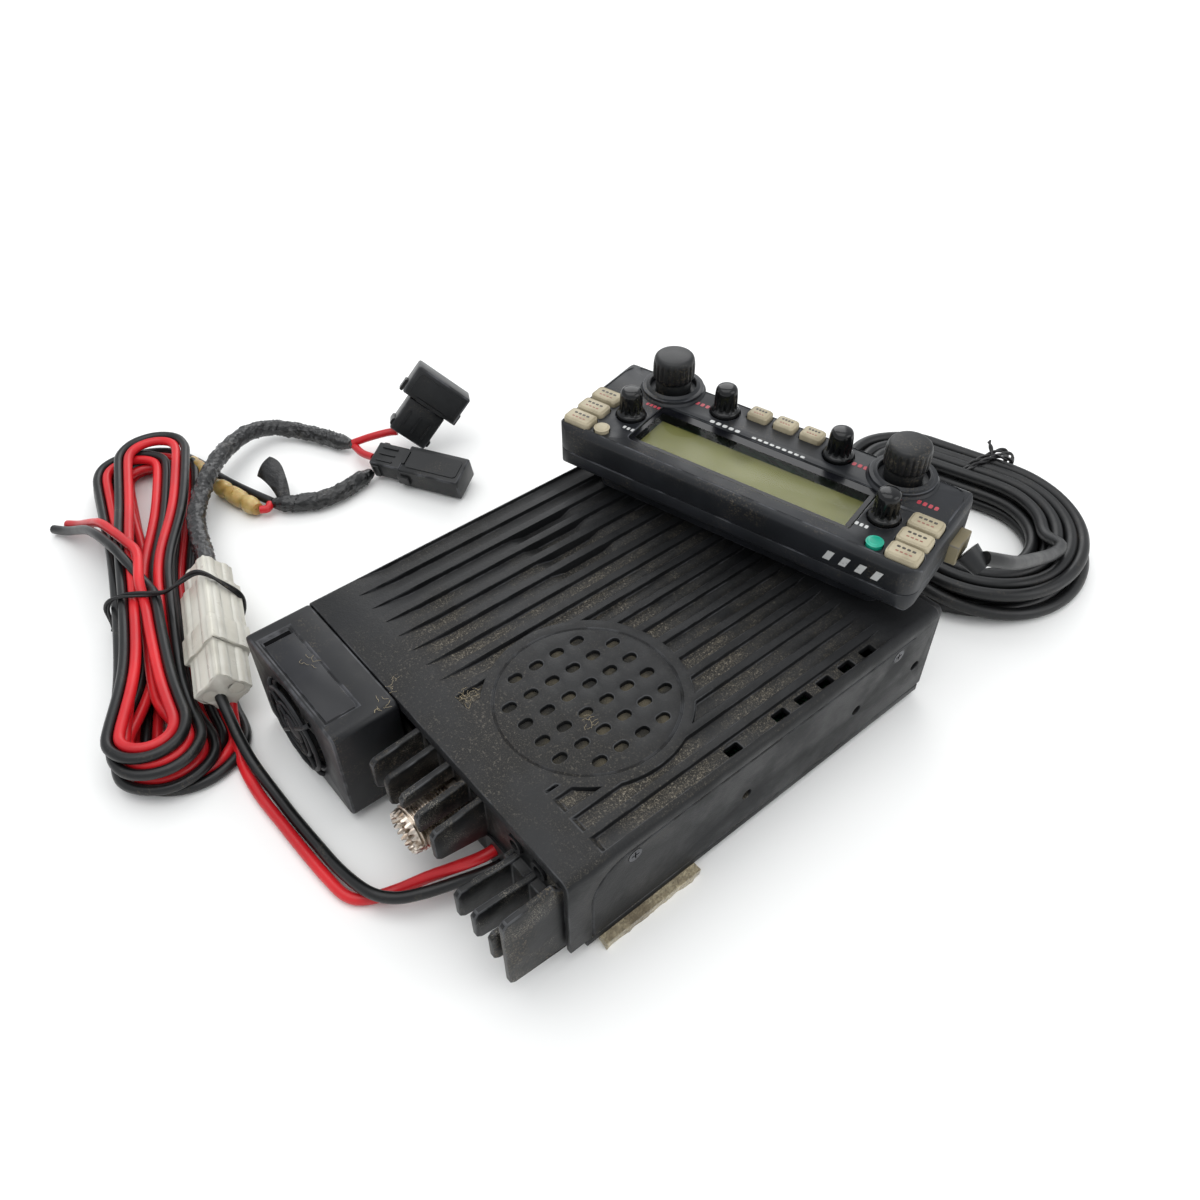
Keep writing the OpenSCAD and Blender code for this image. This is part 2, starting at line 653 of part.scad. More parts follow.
// knob or dial with its shaft; z = 0 is the face that it stands in
module knob(r, h, skirt_r, skirt_h, ribs, rib_d, seat) {
    difference() {
        union() {
            translate([0, 0, -seat]) cylinder(r = skirt_r, h = skirt_h + seat);
            translate([0, 0, skirt_h - eps]) cylinder(r = r, h = h - skirt_h - 0.8);
            translate([0, 0, h - 0.82]) cylinder(r1 = r, r2 = r - 0.8, h = 0.8);
        }
        for (k = [0:ribs - 1]) rotate(k * 360 / ribs) translate([r + 0.15, 0, skirt_h + 0.8])
            cylinder(r = rib_d, h = h, $fn = 16);
    }
}

module dial(s) color("#2f3032") in_head() translate([s * dial_at[0], dial_at[1], 0]) {
    translate([0, 0, pod_z]) knob(dial_r, dial_h, 8.1, 2.2, 18, 0.45, 1.4);
    translate([0, 0, head_board_z + 4.6]) cylinder(r = shaft_r, h = pod_z - head_board_z - 4);
}

module small_knob(s, p) color("#1b1b1d") in_head() translate([s * p[0], p[1], 0]) {
    translate([0, 0, face_z]) knob(knob_r, knob_h, 5.3, 1.6, 12, 0.4, 1.2);
    translate([0, 0, head_board_z + 4.6]) cylinder(r = shaft_r, h = face_z - head_board_z - 4);
}

module side_key(s, i) color("#cfc6a8") in_head() translate([s * key_x, key_y[i], face_z]) {
    translate([0, 0, -3.2]) linear_extrude(4.6) rr(11.1, 7.1, 1.6);
    translate([0, 0, 1.38]) linear_extrude(0.5) rr(10, 6, 1.2);
    translate([0, 0, key_foot]) cylinder(r = 1.6, h = 5);
}

module lower_key(i) color("#cfc6a8") in_head() translate([lower_key_x[i], lower_key_y, face_z]) {
    translate([0, 0, -3.2]) linear_extrude(5) rr(8.1, 6.3, 1.2);
    translate([0, 0, 1.78]) linear_extrude(0.5) rr(7, 5.2, 1);
    translate([0, 0, key_foot]) cylinder(r = 1.4, h = 5);
}

module round_button(s) in_head() translate([s * button_at[0], button_at[1], face_z]) {
    translate([0, 0, -3.2]) cylinder(r = 2.6, h = 4.4);
    translate([0, 0, 1.18]) cylinder(r1 = 2.6, r2 = 2.1, h = 0.5);
    translate([0, 0, key_foot]) cylinder(r = 1.2, h = 5);
}

module power_button() color("#159a80") round_button(-1);
module set_button() color("#d6cdb0") round_button(1);

// ---------------------------------------------------------------- cords
module control_plugs() color("#c9c2ae") {
    in_head() box([-head_w / 2 - 3.4, -15.6, split_z - 5.6], [-head_w / 2 + 5.6, -4.4, split_z + 2]);
    box([18.6, -half_l - 5, 10.8], [29.4, -half_l + 6, 19.2]);
}

module plug_boots() color("#1d1d1e") {
    in_head() translate([-head_w / 2 - 3.4, -10, split_z - 1.8]) rotate([-8, -118, 0])
        translate([0, 0, 1.6]) cylinder(r1 = 4.6, r2 = 3.2, h = 7.6);
    translate([24, -half_l - 5, 15]) rotate([90, 0, 0]) cylinder(r1 = 4.2, r2 = 3.2, h = 11.8);
}

module control_cable() color("#202122") {
    tube(cable_route, cable_d / 2, 8);
    tube(jack_route, cable_d / 2, 8);
}

// outline round two circles of different size, joined by their common tangents
module egg(p, rp, q, rq) {
    d = q - p;
    turn = atan2(d[1], d[0]);
    open = acos((rp - rq) / norm(d));
    n = 24;
    polygon(concat(
        [for (i = [0:n]) let (a = turn + open + (360 - 2 * open) * i / n) p + rp * [cos(a), sin(a)]],
        [for (i = [0:n]) let (a = turn - open + 2 * open * i / n) q + rq * [cos(a), sin(a)]]));
}

module control_coil() color("#232425") {
    translate([0, 0, coil_z0]) linear_extrude(coil_h) difference() {
        egg(coil_big, coil_big_r, coil_small, coil_small_r);
        egg(coil_big, coil_big_r - coil_band, coil_small, coil_small_r - coil_band);
    }
}

module coil_tie() color("#0f0f10") {
    translate([-13.5, -196.4, 0]) rotate(-10) difference() {
        box([-2.2, -15.5, 0.1], [2.2, 15.5, coil_h + 2]);
        box([-3, -13.9, 0.25], [3, 13.9, coil_h + 0.8]);
    }
}

module pigtail_red() color("#c8202c") tube(red_route, wire_d / 2, 8);
module pigtail_black() color("#1a1a1b") tube(black_route, wire_d / 2, 8);

module in_connector() {
    translate(connector_pos) rotate([0, 0, connector_turn]) rotate([connector_roll, 0, 0]) children();
}

module connector_socket() color("#dcdcd4") in_connector() difference() {
    union() {
        box([0, -7, -7], [20, 7, 7]);
        box([17, -8.6, -8.2], [29, 8.6, 8.2]);
    }
    for (y = [-3.6, 3.6]) translate([-1, y, y > 0 ? 2.5 : -2.5]) rotate([0, 90, 0])
        cylinder(r = 2.5, h = 14);
}

module connector_plug() color("#e2e2da") in_connector() difference() {
    union() {
        box([29.2, -8, -7.6], [52, 8, 7.6]);
        box([52 - eps, -6.4, -6.4], [64, 6.4, 6.4]);
    }
    translate([54, 0, 0]) rotate([0, 90, 0]) cylinder(r = 4.6, h = 12);
}

module taped_lead_a() color("#1c1c1c") tube(lead_a_route, tape_d / 2, 8);
module taped_lead_b() color("#1c1c1c") tube(lead_b_route, tape_d / 2, 8);

// body of a fuse holder, reaching back along X from its cap
module holder_body(l, w, t) {
    difference() {
        box([-l, -w / 2, -t / 2], [2, w / 2, t / 2]);
        box([-l + 8, -w / 2 + 2.5, -2.6], [3, w / 2 - 2.5, 2.6]);
    }
}

module holder_cap(l, w, t) {
    difference() {
        box([2.2, -w / 2, -t / 2], [2.2 + l, w / 2, t / 2]);
        box([1, -w / 2 + 1.8, -t / 2 + 1.8], [l, w / 2 - 1.8, t / 2 - 1.8]);
    }
}

module fuse_holders() color("#242526") {
    translate(fuse_a_pos) rotate(fuse_a_turn) holder_body(15, 18, 11);
    translate(fuse_b_pos) rotate(fuse_b_turn) holder_body(13, 12, 9);
}

module fuse_caps() color("#2c2d2e") {
    translate(fuse_a_pos) rotate(fuse_a_turn) holder_cap(14, 26.8, 13.4);
    translate(fuse_b_pos) rotate(fuse_b_turn) holder_cap(28.6, 14.5, 11);
}

module blade_fuses() color("#c26a1c") {
    translate(fuse_a_pos) rotate(fuse_a_turn) box([-5, -5.8, -2.2], [11, 5.8, 2.2]);
    translate(fuse_b_pos) rotate(fuse_b_turn) box([-4, -3, -2.2], [17, 3, 2.2]);
}

module splice_sleeves() color("#c9a45c") {
    translate([173, 55.8, 4.4]) rotate([0, 0, 13]) rotate([0, 90, 0]) cylinder(r = 3.9, h = 28);
    translate([207, 61.8, 4.4]) rotate([0, 0, 7]) rotate([0, 90, 0]) cylinder(r = 3.7, h = 18);
}

// half width of the hank at x, with round ends
function hank_w(x) = hank_side * (1 - 0.12 * exp(-pow((x - tie_x) / 30, 2)))
    * pow(1 - pow(abs(x) / hank_half, 5), 0.4);

module hank_outline() {
    n = 40;
    polygon(concat(
        [for (i = [0:n]) let (x = hank_half * cos(180 * i / n)) [x, hank_w(x)]],
        [for (i = [n - 1:-1:1]) let (x = hank_half * cos(180 * i / n)) [x, -hank_w(x)]]));
}

module power_hank() color("#b3202a") translate(hank_pos) rotate(hank_turn) difference() {
    translate([0, 0, hank_z0]) linear_extrude(hank_h) hank_outline();
    // the connector's place on the lower strands
    box([-82, -60, hank_step], [-3, -5.6, 60]);
}

module hank_tie() color("#101010") translate(hank_pos) rotate(hank_turn) translate([tie_x, 0, 0])
    rotate([90, 0, 90 + tie_turn]) translate([0, 0, -tie_w / 2]) linear_extrude(tie_w) difference() {
        polygon([[-25, 0.05], [24.5, 0.05], [24.5, 12], [20.5, 19.4], [0, 24], [-16.5, 31], [-21.5, 30.8],
                 [-33, 19], [-33, 13]]);
        polygon([[-24, 0.22], [23, 0.22], [23, 11.5], [19.5, 18.1], [-0.4, 22.6], [-17, 29.7],
                 [-20.8, 29.4], [-31.8, 18.6], [-31.8, 13.4]]);
    }

// the two free ends, and the short wires between tape, fuse holders and splices
module lead_ends() {
    color("#1a1a1b") tube(bare_black, wire_d / 2, 8);
    color("#c8202c") {
        tube(bare_red, wire_d / 2, 8);
        tube(fuse_wire_1, short_d / 2, 8);
        tube(fuse_wire_2, short_d / 2, 8);
        tube(splice_wire, short_d / 2, 8);
    }
}

chassis();
top_cover();
heat_sink();
front_panel();
fan_shroud();
shroud_label();
fan_frame();
fan_rotor();
fan_guard();
speaker();
main_board();
rf_shield();
antenna_shell();
antenna_insulator();
speaker_jacks();
front_jacks();
power_grommet();
grip_pads();
cover_screws();
head_bezel();
head_back();
display_lens();
display_panel();
head_board();
control_pots();
dial(-1);  // left_dial
dial(1);  // right_dial
small_knob(-1, volume_at);  // left_volume_knob
small_knob(1, volume_at);  // right_volume_knob
small_knob(-1, squelch_at);  // left_squelch_knob
small_knob(1, squelch_at);  // right_squelch_knob
side_key(-1, 0);  // left_key_1
side_key(-1, 1);  // left_key_2
side_key(-1, 2);  // left_key_3
side_key(1, 0);  // right_key_1
side_key(1, 1);  // right_key_2
side_key(1, 2);  // right_key_3
lower_key(0);  // lower_key_1
lower_key(1);  // lower_key_2
lower_key(2);  // lower_key_3
power_button();
set_button();
control_plugs();
plug_boots();
control_cable();
control_coil();
coil_tie();
pigtail_red();
pigtail_black();
connector_socket();
connector_plug();
taped_lead_a();
taped_lead_b();
fuse_holders();
fuse_caps();
blade_fuses();
splice_sleeves();
power_hank();
hank_tie();
lead_ends();
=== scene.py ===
"""Looks of a mobile transceiver: materials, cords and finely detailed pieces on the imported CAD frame.

Lengths are given in millimetres and turned into metres by mm() and MM.
The row frame has the main unit's front towards -Y and the surface it lies on at Z 0.
"""
import json
import random
from math import acos, atan2, cos, exp, pi, radians, sin, tau

import bmesh
import bpy
from mathutils import Matrix, Vector, noise

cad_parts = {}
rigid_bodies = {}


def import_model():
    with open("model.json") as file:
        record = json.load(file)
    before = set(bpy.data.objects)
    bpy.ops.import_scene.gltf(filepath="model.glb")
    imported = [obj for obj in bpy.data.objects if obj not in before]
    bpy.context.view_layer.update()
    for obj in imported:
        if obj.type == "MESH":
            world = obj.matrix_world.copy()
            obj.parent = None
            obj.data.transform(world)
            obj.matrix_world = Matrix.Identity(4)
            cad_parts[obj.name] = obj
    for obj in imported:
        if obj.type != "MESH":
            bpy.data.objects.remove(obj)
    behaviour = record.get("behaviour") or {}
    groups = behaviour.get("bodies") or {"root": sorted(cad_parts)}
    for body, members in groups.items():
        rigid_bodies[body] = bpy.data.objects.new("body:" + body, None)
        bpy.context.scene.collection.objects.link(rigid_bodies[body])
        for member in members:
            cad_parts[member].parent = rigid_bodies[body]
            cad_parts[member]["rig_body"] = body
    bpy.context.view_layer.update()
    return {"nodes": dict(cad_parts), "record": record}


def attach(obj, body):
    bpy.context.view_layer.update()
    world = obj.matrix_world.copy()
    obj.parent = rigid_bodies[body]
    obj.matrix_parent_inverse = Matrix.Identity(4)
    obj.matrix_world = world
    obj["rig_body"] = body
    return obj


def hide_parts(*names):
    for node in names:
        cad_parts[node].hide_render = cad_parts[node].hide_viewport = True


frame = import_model()

MM = 0.001
WIRE_D = 3.8
CABLE_D = 5.0
SHORT_D = 3.4
HALF_PAIR = 1.95  # half the distance between the middles of the two supply wires


def mm(*values):
    return Vector(values) * MM


def shift(*place):
    return Matrix.Translation(mm(*place))


def spin(degrees, axis):
    return Matrix.Rotation(radians(degrees), 4, axis)


def at(place, turn):
    """Matrix of a frame at place, in millimetres, turned about Z in degrees."""
    return shift(*place) @ spin(turn, "Z")


HEAD = at((5.1, -66.3, 0), 14.4)
HEAD_SIDE_Y = 25
FACE_Z = 70.0
POD_Z = 72.0
DIAL_X, DIAL_Y = 46, -17
SIDE_KEYS_X, SIDE_KEYS_Y, SIDE_KEYS_TOP = 62.5, (18.8, 10.6, 2), FACE_Z + 1.88
LOWER_KEYS_X, LOWER_KEYS_Y, LOWER_KEYS_TOP = (-10.6, 0, 10.6), -20, FACE_Z + 2.28
COVER_TOP, GROOVE_FLOOR = 42.75, 41.2
FAN_X, FAN_Z, GUARD_Y = 41.15, 22.6, 104.15
SOCKET_X, SOCKET_Z = -15.5, 23
HANK = at((151, 107, 0), -18.4)
CONNECTOR = at((75, 114.2, 17.2), -20) @ spin(-42, "X")
FUSE_A = at((169.3, -28.7, 19.9), -100) @ spin(-45.5, "Y") @ spin(63, "X")
FUSE_B = at((155.3, -6.3, 7.9), -150.6) @ spin(15, "X")


# -------- camera, floor and light
def link(obj):
    bpy.context.scene.collection.objects.link(obj)


def make_camera():
    """The photo's view, solved from points that could be measured in it."""
    forward = Vector((0.5464, -0.4501, -0.7064)).normalized()
    right = forward.cross(Vector((0, 0, 1))).normalized()
    up = right.cross(forward)
    roll = Matrix.Rotation(radians(-0.49), 3, "Z")
    data = bpy.data.cameras.new("photo_camera")
    data.lens = 30.875
    data.sensor_width = 36
    data.clip_start = 0.01
    camera = bpy.data.objects.new("photo_camera", data)
    turned = (Matrix((right, up, -forward)).transposed() @ roll).to_4x4()
    camera.matrix_world = shift(-181.76, 159.12, 286.56) @ turned
    link(camera)
    bpy.context.scene.camera = camera


def add_light(name, place, aim, size, power):
    data = bpy.data.lights.new(name, "AREA")
    data.size = size
    data.energy = power
    lamp = bpy.data.objects.new(name, data)
    lamp.location = place
    lamp.rotation_mode = "QUATERNION"
    lamp.rotation_quaternion = (Vector(aim) - Vector(place)).to_track_quat("-Z", "Y")
    link(lamp)


def make_studio():
    add_light("softbox_top", (0.1, 0.1, 1.1), (0, 0, 0), 1.1, 6.5)
    add_light("softbox_rear", (0.9, -0.8, 0.8), (0, 0, 0), 0.9, 5.5)
    add_light("softbox_side", (-0.9, -0.5, 0.7), (0, 0, 0), 0.8, 3.5)
    world = bpy.data.worlds.new("studio")
    world.use_nodes = True
    background = world.node_tree.nodes["Background"].inputs
    background["Color"].default_value = (0.95, 0.97, 1, 1)
    background["Strength"].default_value = 0.8
    bpy.context.scene.world = world
    bpy.context.scene.view_settings.view_transform = "Standard"
    look = Look("floor_pale", "#f4f4f2", 0.75)
    look.tint(look.noise(3, 2), "#f4f4f2", "#efefed")
    bm = bmesh.new()
    bmesh.ops.create_grid(bm, x_segments=8, y_segments=8, size=3.0)
    floor = add_mesh("studio_floor", bm, look)


# -------- materials
def linear(code):
    """Linear RGBA of a hex colour."""
    parts = [int(code[i:i + 2], 16) / 255 for i in (1, 3, 5)]
    return (*[p / 12.92 if p <= 0.04045 else ((p + 0.055) / 1.055) ** 2.4 for p in parts], 1)


class Look:
    """A Principled material, with short calls that wire procedural detail into it."""

    def __init__(self, name, colour, rough, **sockets):
        self.name = name
        self.colour = colour
        self.mat = bpy.data.materials.new(name)
        self.mat.use_nodes = True
        self.tree = self.mat.node_tree
        self.shader = self.tree.nodes["Principled BSDF"]
        for key, value in {"Base Color": linear(colour), "Roughness": rough, **sockets}.items():
            self.shader.inputs[key.replace("_", " ")].default_value = value
        self.coords = self.add("ShaderNodeTexCoord").outputs["Object"]

    def add(self, kind, inputs=(), **settings):
        """New node; inputs are pairs of its socket and a value or another node's socket."""
        node = self.tree.nodes.new(kind)
        for key, value in settings.items():
            setattr(node, key, value)
        for key, value in inputs:
            self.feed(node.inputs[key], value)
        return node

    def feed(self, socket, value):
        if isinstance(value, bpy.types.NodeSocket):
            self.tree.links.new(value, socket)
        else:
            socket.default_value = value

    def noise(self, scale, detail=3, rough=0.55, stretch=None):
        place = self.coords
        if stretch:
            mapping = [("Vector", place), ("Scale", stretch)]
            place = self.add("ShaderNodeMapping", mapping).outputs["Vector"]
        return self.add("ShaderNodeTexNoise", [("Vector", place), ("Scale", scale), ("Detail", detail),
                                               ("Roughness", rough)]).outputs["Fac"]

    def cells(self, scale):
        node = self.add("ShaderNodeTexVoronoi", [("Vector", self.coords), ("Scale", scale)])
        return node.outputs["Distance"]

    def span(self, value, low, high, out_low=0.0, out_high=1.0):
        """Smooth step of the value, from low to high."""
        inputs = zip(("Value", "From Min", "From Max", "To Min", "To Max"),
                     (value, low, high, out_low, out_high))
        return self.add("ShaderNodeMapRange", inputs, interpolation_type="SMOOTHSTEP").outputs["Result"]

    def times(self, product, *factors):
        for factor in factors:
            pair = [(0, product), (1, factor)]
            product = self.add("ShaderNodeMath", pair, operation="MULTIPLY").outputs[0]
        return product

    def axis(self, name, of="Object"):
        """Component of the place, or of the surface's Normal, in the object's own frame."""
        source = self.add("ShaderNodeTexCoord").outputs[of]
        return self.add("ShaderNodeSeparateXYZ", [(0, source)]).outputs[name]

    def layer(self, name):
        return self.add("ShaderNodeAttribute", attribute_name=name).outputs["Fac"]

    def tint(self, amount, a, b=None):
        """Colour from a to b as amount goes from 0 to 1; without b, from the colour so far to a."""
        ends = [linear(c) if isinstance(c, str) else c for c in ((self.colour, a) if b is None else (a, b))]
        node = self.add("ShaderNodeMix", [(0, amount), (6, ends[0]), (7, ends[1])], data_type="RGBA")
        self.colour = node.outputs[2]
        self.feed(self.shader.inputs["Base Color"], self.colour)
        return self

    def mottle(self, pattern, low, high, *shades):
        """Tints with a noise, from its value low to its value high."""
        return self.tint(self.span(self.noise(*pattern), low, high), *shades)

    def roughen(self, amount, low, high):
        self.feed(self.shader.inputs["Roughness"], self.span(amount, 0, 1, low, high))
        return self

    def bump(self, height, distance, strength):
        """Adds a bump of this depth in millimetres to the ones there are."""
        inputs = [("Strength", strength), ("Distance", distance * MM), ("Height", height)]
        before = self.shader.inputs["Normal"].links
        if before:
            inputs.append(("Normal", before[0].from_socket))
        self.feed(self.shader.inputs["Normal"], self.add("ShaderNodeBump", inputs).outputs["Normal"])
        return self


def edge_wear(look, colour, amount=0.8):
    """Rubbed edges: the bevelled faces carry the layer named worn."""
    rubbed = look.times(look.layer("worn"), look.span(look.noise(120, 4), 0.42, 0.62, 0, amount))
    return look.tint(rubbed, colour)


def dusty(look, colour, patch, patch_low, patch_high, amount, grain=900):
    """Patches of dust broken up into fine grains."""
    spread = look.span(look.noise(patch, 3, 0.6), patch_low, patch_high)
    grains = look.span(look.noise(grain, 2, 0.7), 0.5, 0.68)
    return look.tint(look.times(spread, grains, amount), colour)


def surface(name, colour, rough, mottle, gloss, grains=(), dust=(), wear=None, **sockets):
    """A look of mottled colour, dust, rubbed edges, uneven gloss and grain.

    mottle is (noise, low, high, shades), gloss (noise, smoothest, roughest) and each grain (noise,
    depth, strength), with noise as Look.noise takes it; dust is rows for dusty, wear for edge_wear.
    """
    look = Look(name, colour, rough, **sockets)
    look.mottle(*mottle)
    for row in dust:
        dusty(look, *row)
    if wear:
        edge_wear(look, *wear)
    if gloss:
        look.roughen(look.noise(*gloss[0]), *gloss[1:])
    for pattern, depth, strength in grains:
        look.bump(look.noise(*pattern), depth, strength)
    return look


def cover_look():
    """Textured black paint, with tan dust lying in the grooves and specks all over the top."""
    look = Look("case_black", "#121314", 0.55, Specular_IOR_Level=0.3)
    fine = look.noise(1500, 3, 0.6)
    look.mottle((18, 4), 0.35, 0.7, "#0e0f10", "#17181a")
    depth = look.span(look.axis("Z"), COVER_TOP * MM, GROOVE_FLOOR * MM)
    up = look.span(look.axis("Z", "Normal"), 0.5, 0.9)
    behind = look.span(look.axis("Y"), -0.075, 0.02)
    middle = look.span(look.axis("X"), 0.075, 0.0)
    film = look.span(look.noise(26, 4, 0.65), 0.34, 0.7)
    grit = look.span(look.noise(2300, 2, 0.75), 0.52, 0.66)
    coarse = look.span(look.noise(1100, 2, 0.75), 0.57, 0.68)
    streaks = look.span(look.noise(420, 3, 0.7, stretch=(2.4, 0.45, 1)), 0.48, 0.75)
    groove = look.times(depth, look.times(behind, middle, up, film))
    plateau = look.times(up, film, look.span(look.axis("Y"), -0.03, 0.06))
    for amount, colour in (((groove, 0.3), "#3f3a31"), ((groove, streaks), "#544d40"),
                           ((groove, grit, 0.7), "#857e6e"), ((groove, coarse, 0.75), "#9c9383"),
                           ((plateau, 0.1), "#47423a"), ((plateau, grit, 0.16), "#7b7466"),
                           ((plateau, coarse, 0.3), "#807a6e")):
        look.tint(look.times(*amount), colour)
    edge_wear(look, "#3f4042", 0.7)
    look.roughen(film, 0.42, 0.66)
    look.bump(fine, 0.10, 0.7)
    return look.bump(look.noise(420, 3), 0.16, 0.6)


def plastic_look(name, colour, light, rough, depth=0.03, wear="#55565a", dust=0.25):
    """Moulded plastic with a fine spark-eroded grain, rubbed edges and a little dust."""
    return surface(name, colour, rough, ((35, 4), 0.35, 0.75, colour, light),
                   ((140, 3), rough - 0.08, rough + 0.1), [((1700, 3, 0.6), depth, 0.7)],
                   [("#8d8069", 60, 0.5, 0.75, dust, 1300)], (wear, 0.55), Specular_IOR_Level=0.33)


def rubber_look(name, colour, shade, rough, dust=0.2):
    """Wire or cable skin: nearly smooth, with scuffs."""
    return surface(name, colour, rough, ((40, 4), 0.35, 0.72, shade, colour),
                   ((160, 3), rough - 0.08, rough + 0.14), [((300, 3), 0.05, 0.5)],
                   [("#94866f", 70, 0.5, 0.78, dust, 1100)],
                   Coat_Weight=0.06, Coat_Roughness=0.3, Specular_IOR_Level=0.38)


def nickel_look():
    """Nickel plate with stains and worn, dark spots."""
    look = surface("connector_nickel", "#c4b9ac", 0.28, ((260, 4), 0.42, 0.72, "#d0c6ba", "#94816f"),
                   ((300, 4), 0.16, 0.42), [((900, 3), 0.03, 0.6)], Metallic=1)
    return look.mottle((700, 3), 0.66, 0.8, "#4c3d32")


def steel_look(name, colour):
    return surface(name, colour, 0.35, ((200, 4), 0.4, 0.7, colour, "#3a3a3c"),
                   ((300, 3), 0.25, 0.5), [((1200, 2), 0.02, 0.5)], Metallic=0.9)


def nylon_look():
    """Milky translucent nylon."""
    return surface("nylon_white", "#cbc8bc", 0.32, ((55, 3), 0.35, 0.7, "#cbc8bc", "#b1ada0"),
                   ((220, 3), 0.22, 0.42), [((500, 3), 0.03, 0.5)],
                   Subsurface_Weight=0.25, Subsurface_Scale=0.002,
                   Subsurface_Radius=(1.0, 0.97, 0.9), Coat_Weight=0.15, Coat_Roughness=0.25)


def tape_look():
    """Shiny vinyl tape with creases."""
    look = surface("tape_black", "#0c0d0e", 0.3, ((80, 4), 0.4, 0.72, "#090a0b", "#18191a"),
                   ((150, 4), 0.2, 0.48), dust=[("#7d7364", 70, 0.5, 0.75, 0.25)],
                   Coat_Weight=0.35, Coat_Roughness=0.16, Specular_IOR_Level=0.4)
    look.bump(look.noise(260, 4, 0.6, stretch=(1, 1, 2)), 0.85, 0.9)
    return look.bump(look.noise(900, 2), 0.05, 0.5)


def amber_look(name, colour, shade):
    return surface(name, colour, 0.28, ((180, 4), 0.35, 0.7, colour, shade),
                   ((250, 3), 0.2, 0.45), [((500, 3), 0.05, 0.5)],
                   Transmission_Weight=0.25, Subsurface_Weight=0.35, Subsurface_Scale=0.003)


def felt_look():
    look = Look("pad_beige", "#b3a687", 0.95, Sheen_Weight=0.4)
    look.mottle((900, 4, 0.7), 0.35, 0.7, "#8c8168", "#c3b798")
    look.mottle((60, 4), 0.5, 0.75, "#6c614c")
    look.bump(look.cells(1300), 0.35, 0.9)
    return look.bump(look.noise(240, 4), 0.6, 0.7)


def lcd_look():
    """Olive reflective display with lighter and darker smudges."""
    look = Look("display_olive", "#8f9058", 0.32)
    look.mottle((22, 3), 0.35, 0.7, "#8a8b50", "#9a9b62")
    look.tint(look.span(look.noise(48, 2, 0.5), 0.56, 0.72, 0, 0.55), "#6f7038")
    look.roughen(look.noise(60), 0.24, 0.4)
    return look.bump(look.noise(900, 2), 0.01, 0.4)


def lens_look():
    """Clear window: a thin glossy film that light passes."""
    look = Look("lens_clear", "#20221d", 0.06, Alpha=0.16)
    look.mat.surface_render_method = "BLENDED"
    return look.roughen(look.span(look.noise(70, 4), 0.45, 0.75), 0.03, 0.14)


def print_look(name, colour):
    look = Look(name, colour, 0.45)
    look.tint(look.span(look.noise(600, 3), 0.5, 0.8, 0, 0.6), "#3a3a3a")
    return look.bump(look.noise(1500, 2), 0.01, 0.4)


def board_look():
    look = Look("board_green", "#1f5a3a", 0.35)
    look.tint(look.span(look.noise(160, 2, stretch=(1, 4, 1)), 0.48, 0.52), "#1b4f33", "#2b6b48")
    return look.bump(look.cells(350), 0.05, 0.5)


def make_looks():
    """Every look that a slot of the frame names, by the slot's name."""
    made = [
        cover_look(), board_look(), nickel_look(), felt_look(), lens_look(), lcd_look(), nylon_look(),
        tape_look(),
        surface("sink_black", "#0f1011", 0.42, ((60, 4), 0.4, 0.7, "#0c0d0e", "#17181a"),
                ((90,), 0.3, 0.55), [((700, 4), 0.08, 0.6)],
                [("#6f6350", 45, 0.46, 0.7, 0.6, 1500), ("#b8b0a0", 80, 0.5, 0.7, 0.5, 2600)],
                ("#4b4c4e", 0.7), Specular_IOR_Level=0.32),
        surface("key_cream", "#a89e84", 0.5, ((90, 4), 0.38, 0.72, "#aba188", "#8d836a"),
                ((200, 3), 0.4, 0.62), [((1400, 3), 0.02, 0.6)],
                [("#6f6450", 130, 0.5, 0.75, 0.5, 1600)]),
        surface("speaker_paper", "#2b2b2c", 0.9, ((300, 4), 0.35, 0.7, "#202021", "#3a3a3b"), None,
                [((800, 4), 0.12, 0.8)], [("#776a53", 60, 0.4, 0.7, 0.6)]),
        plastic_look("shroud_plastic", "#121315", "#1b1c1f", 0.45, depth=0.02),
        plastic_look("label_plate", "#16171a", "#1d1e22", 0.35, depth=0.01),
        plastic_look("fan_plastic", "#121213", "#1f1f20", 0.4, dust=0.7),
        plastic_look("head_charcoal", "#181a1d", "#212327", 0.42, depth=0.018, wear="#5c5e63"),
        plastic_look("jack_black", "#161617", "#232425", 0.42),
        plastic_look("dial_black", "#151617", "#202122", 0.42, dust=0.45),
        plastic_look("knob_black", "#0d0e0f", "#151617", 0.17, depth=0.006, dust=0.1),
        plastic_look("insulator_cream", "#cfc6ae", "#b9ae92", 0.5),
        plastic_look("button_teal", "#128c74", "#1aa286", 0.3, depth=0.01, wear="#3fb69c"),
        plastic_look("plug_beige", "#8a8168", "#71684f", 0.4),
        steel_look("shield_steel", "#b8bab9"),
        steel_look("screw_steel", "#55565a"),
        rubber_look("wire_red", "#d01f26", "#b5161f", 0.32, 0.12),
        rubber_look("wire_black", "#131415", "#0b0c0d", 0.34, 0.25),
        rubber_look("cable_black", "#161718", "#0e0f10", 0.4, 0.15),
        rubber_look("tie_black", "#141415", "#0c0c0d", 0.4),
        amber_look("sleeve_amber", "#d3b876", "#b18f4c"),
        amber_look("fuse_amber", "#c26a1c", "#8e4710"),
    ]
    return {look.name: look for look in made}


# -------- mesh helpers
def add_mesh(name, bm, look, extra=(), smooth=32):
    data = bpy.data.meshes.new(name)
    bm.normal_update()
    bm.to_mesh(data)
    bm.free()
    data.shade_smooth()
    data.set_sharp_from_angle(angle=radians(smooth))
    for each in (look, *extra):
        data.materials.append(each.mat)
    obj = bpy.data.objects.new(name, data)
    link(obj)
    return obj


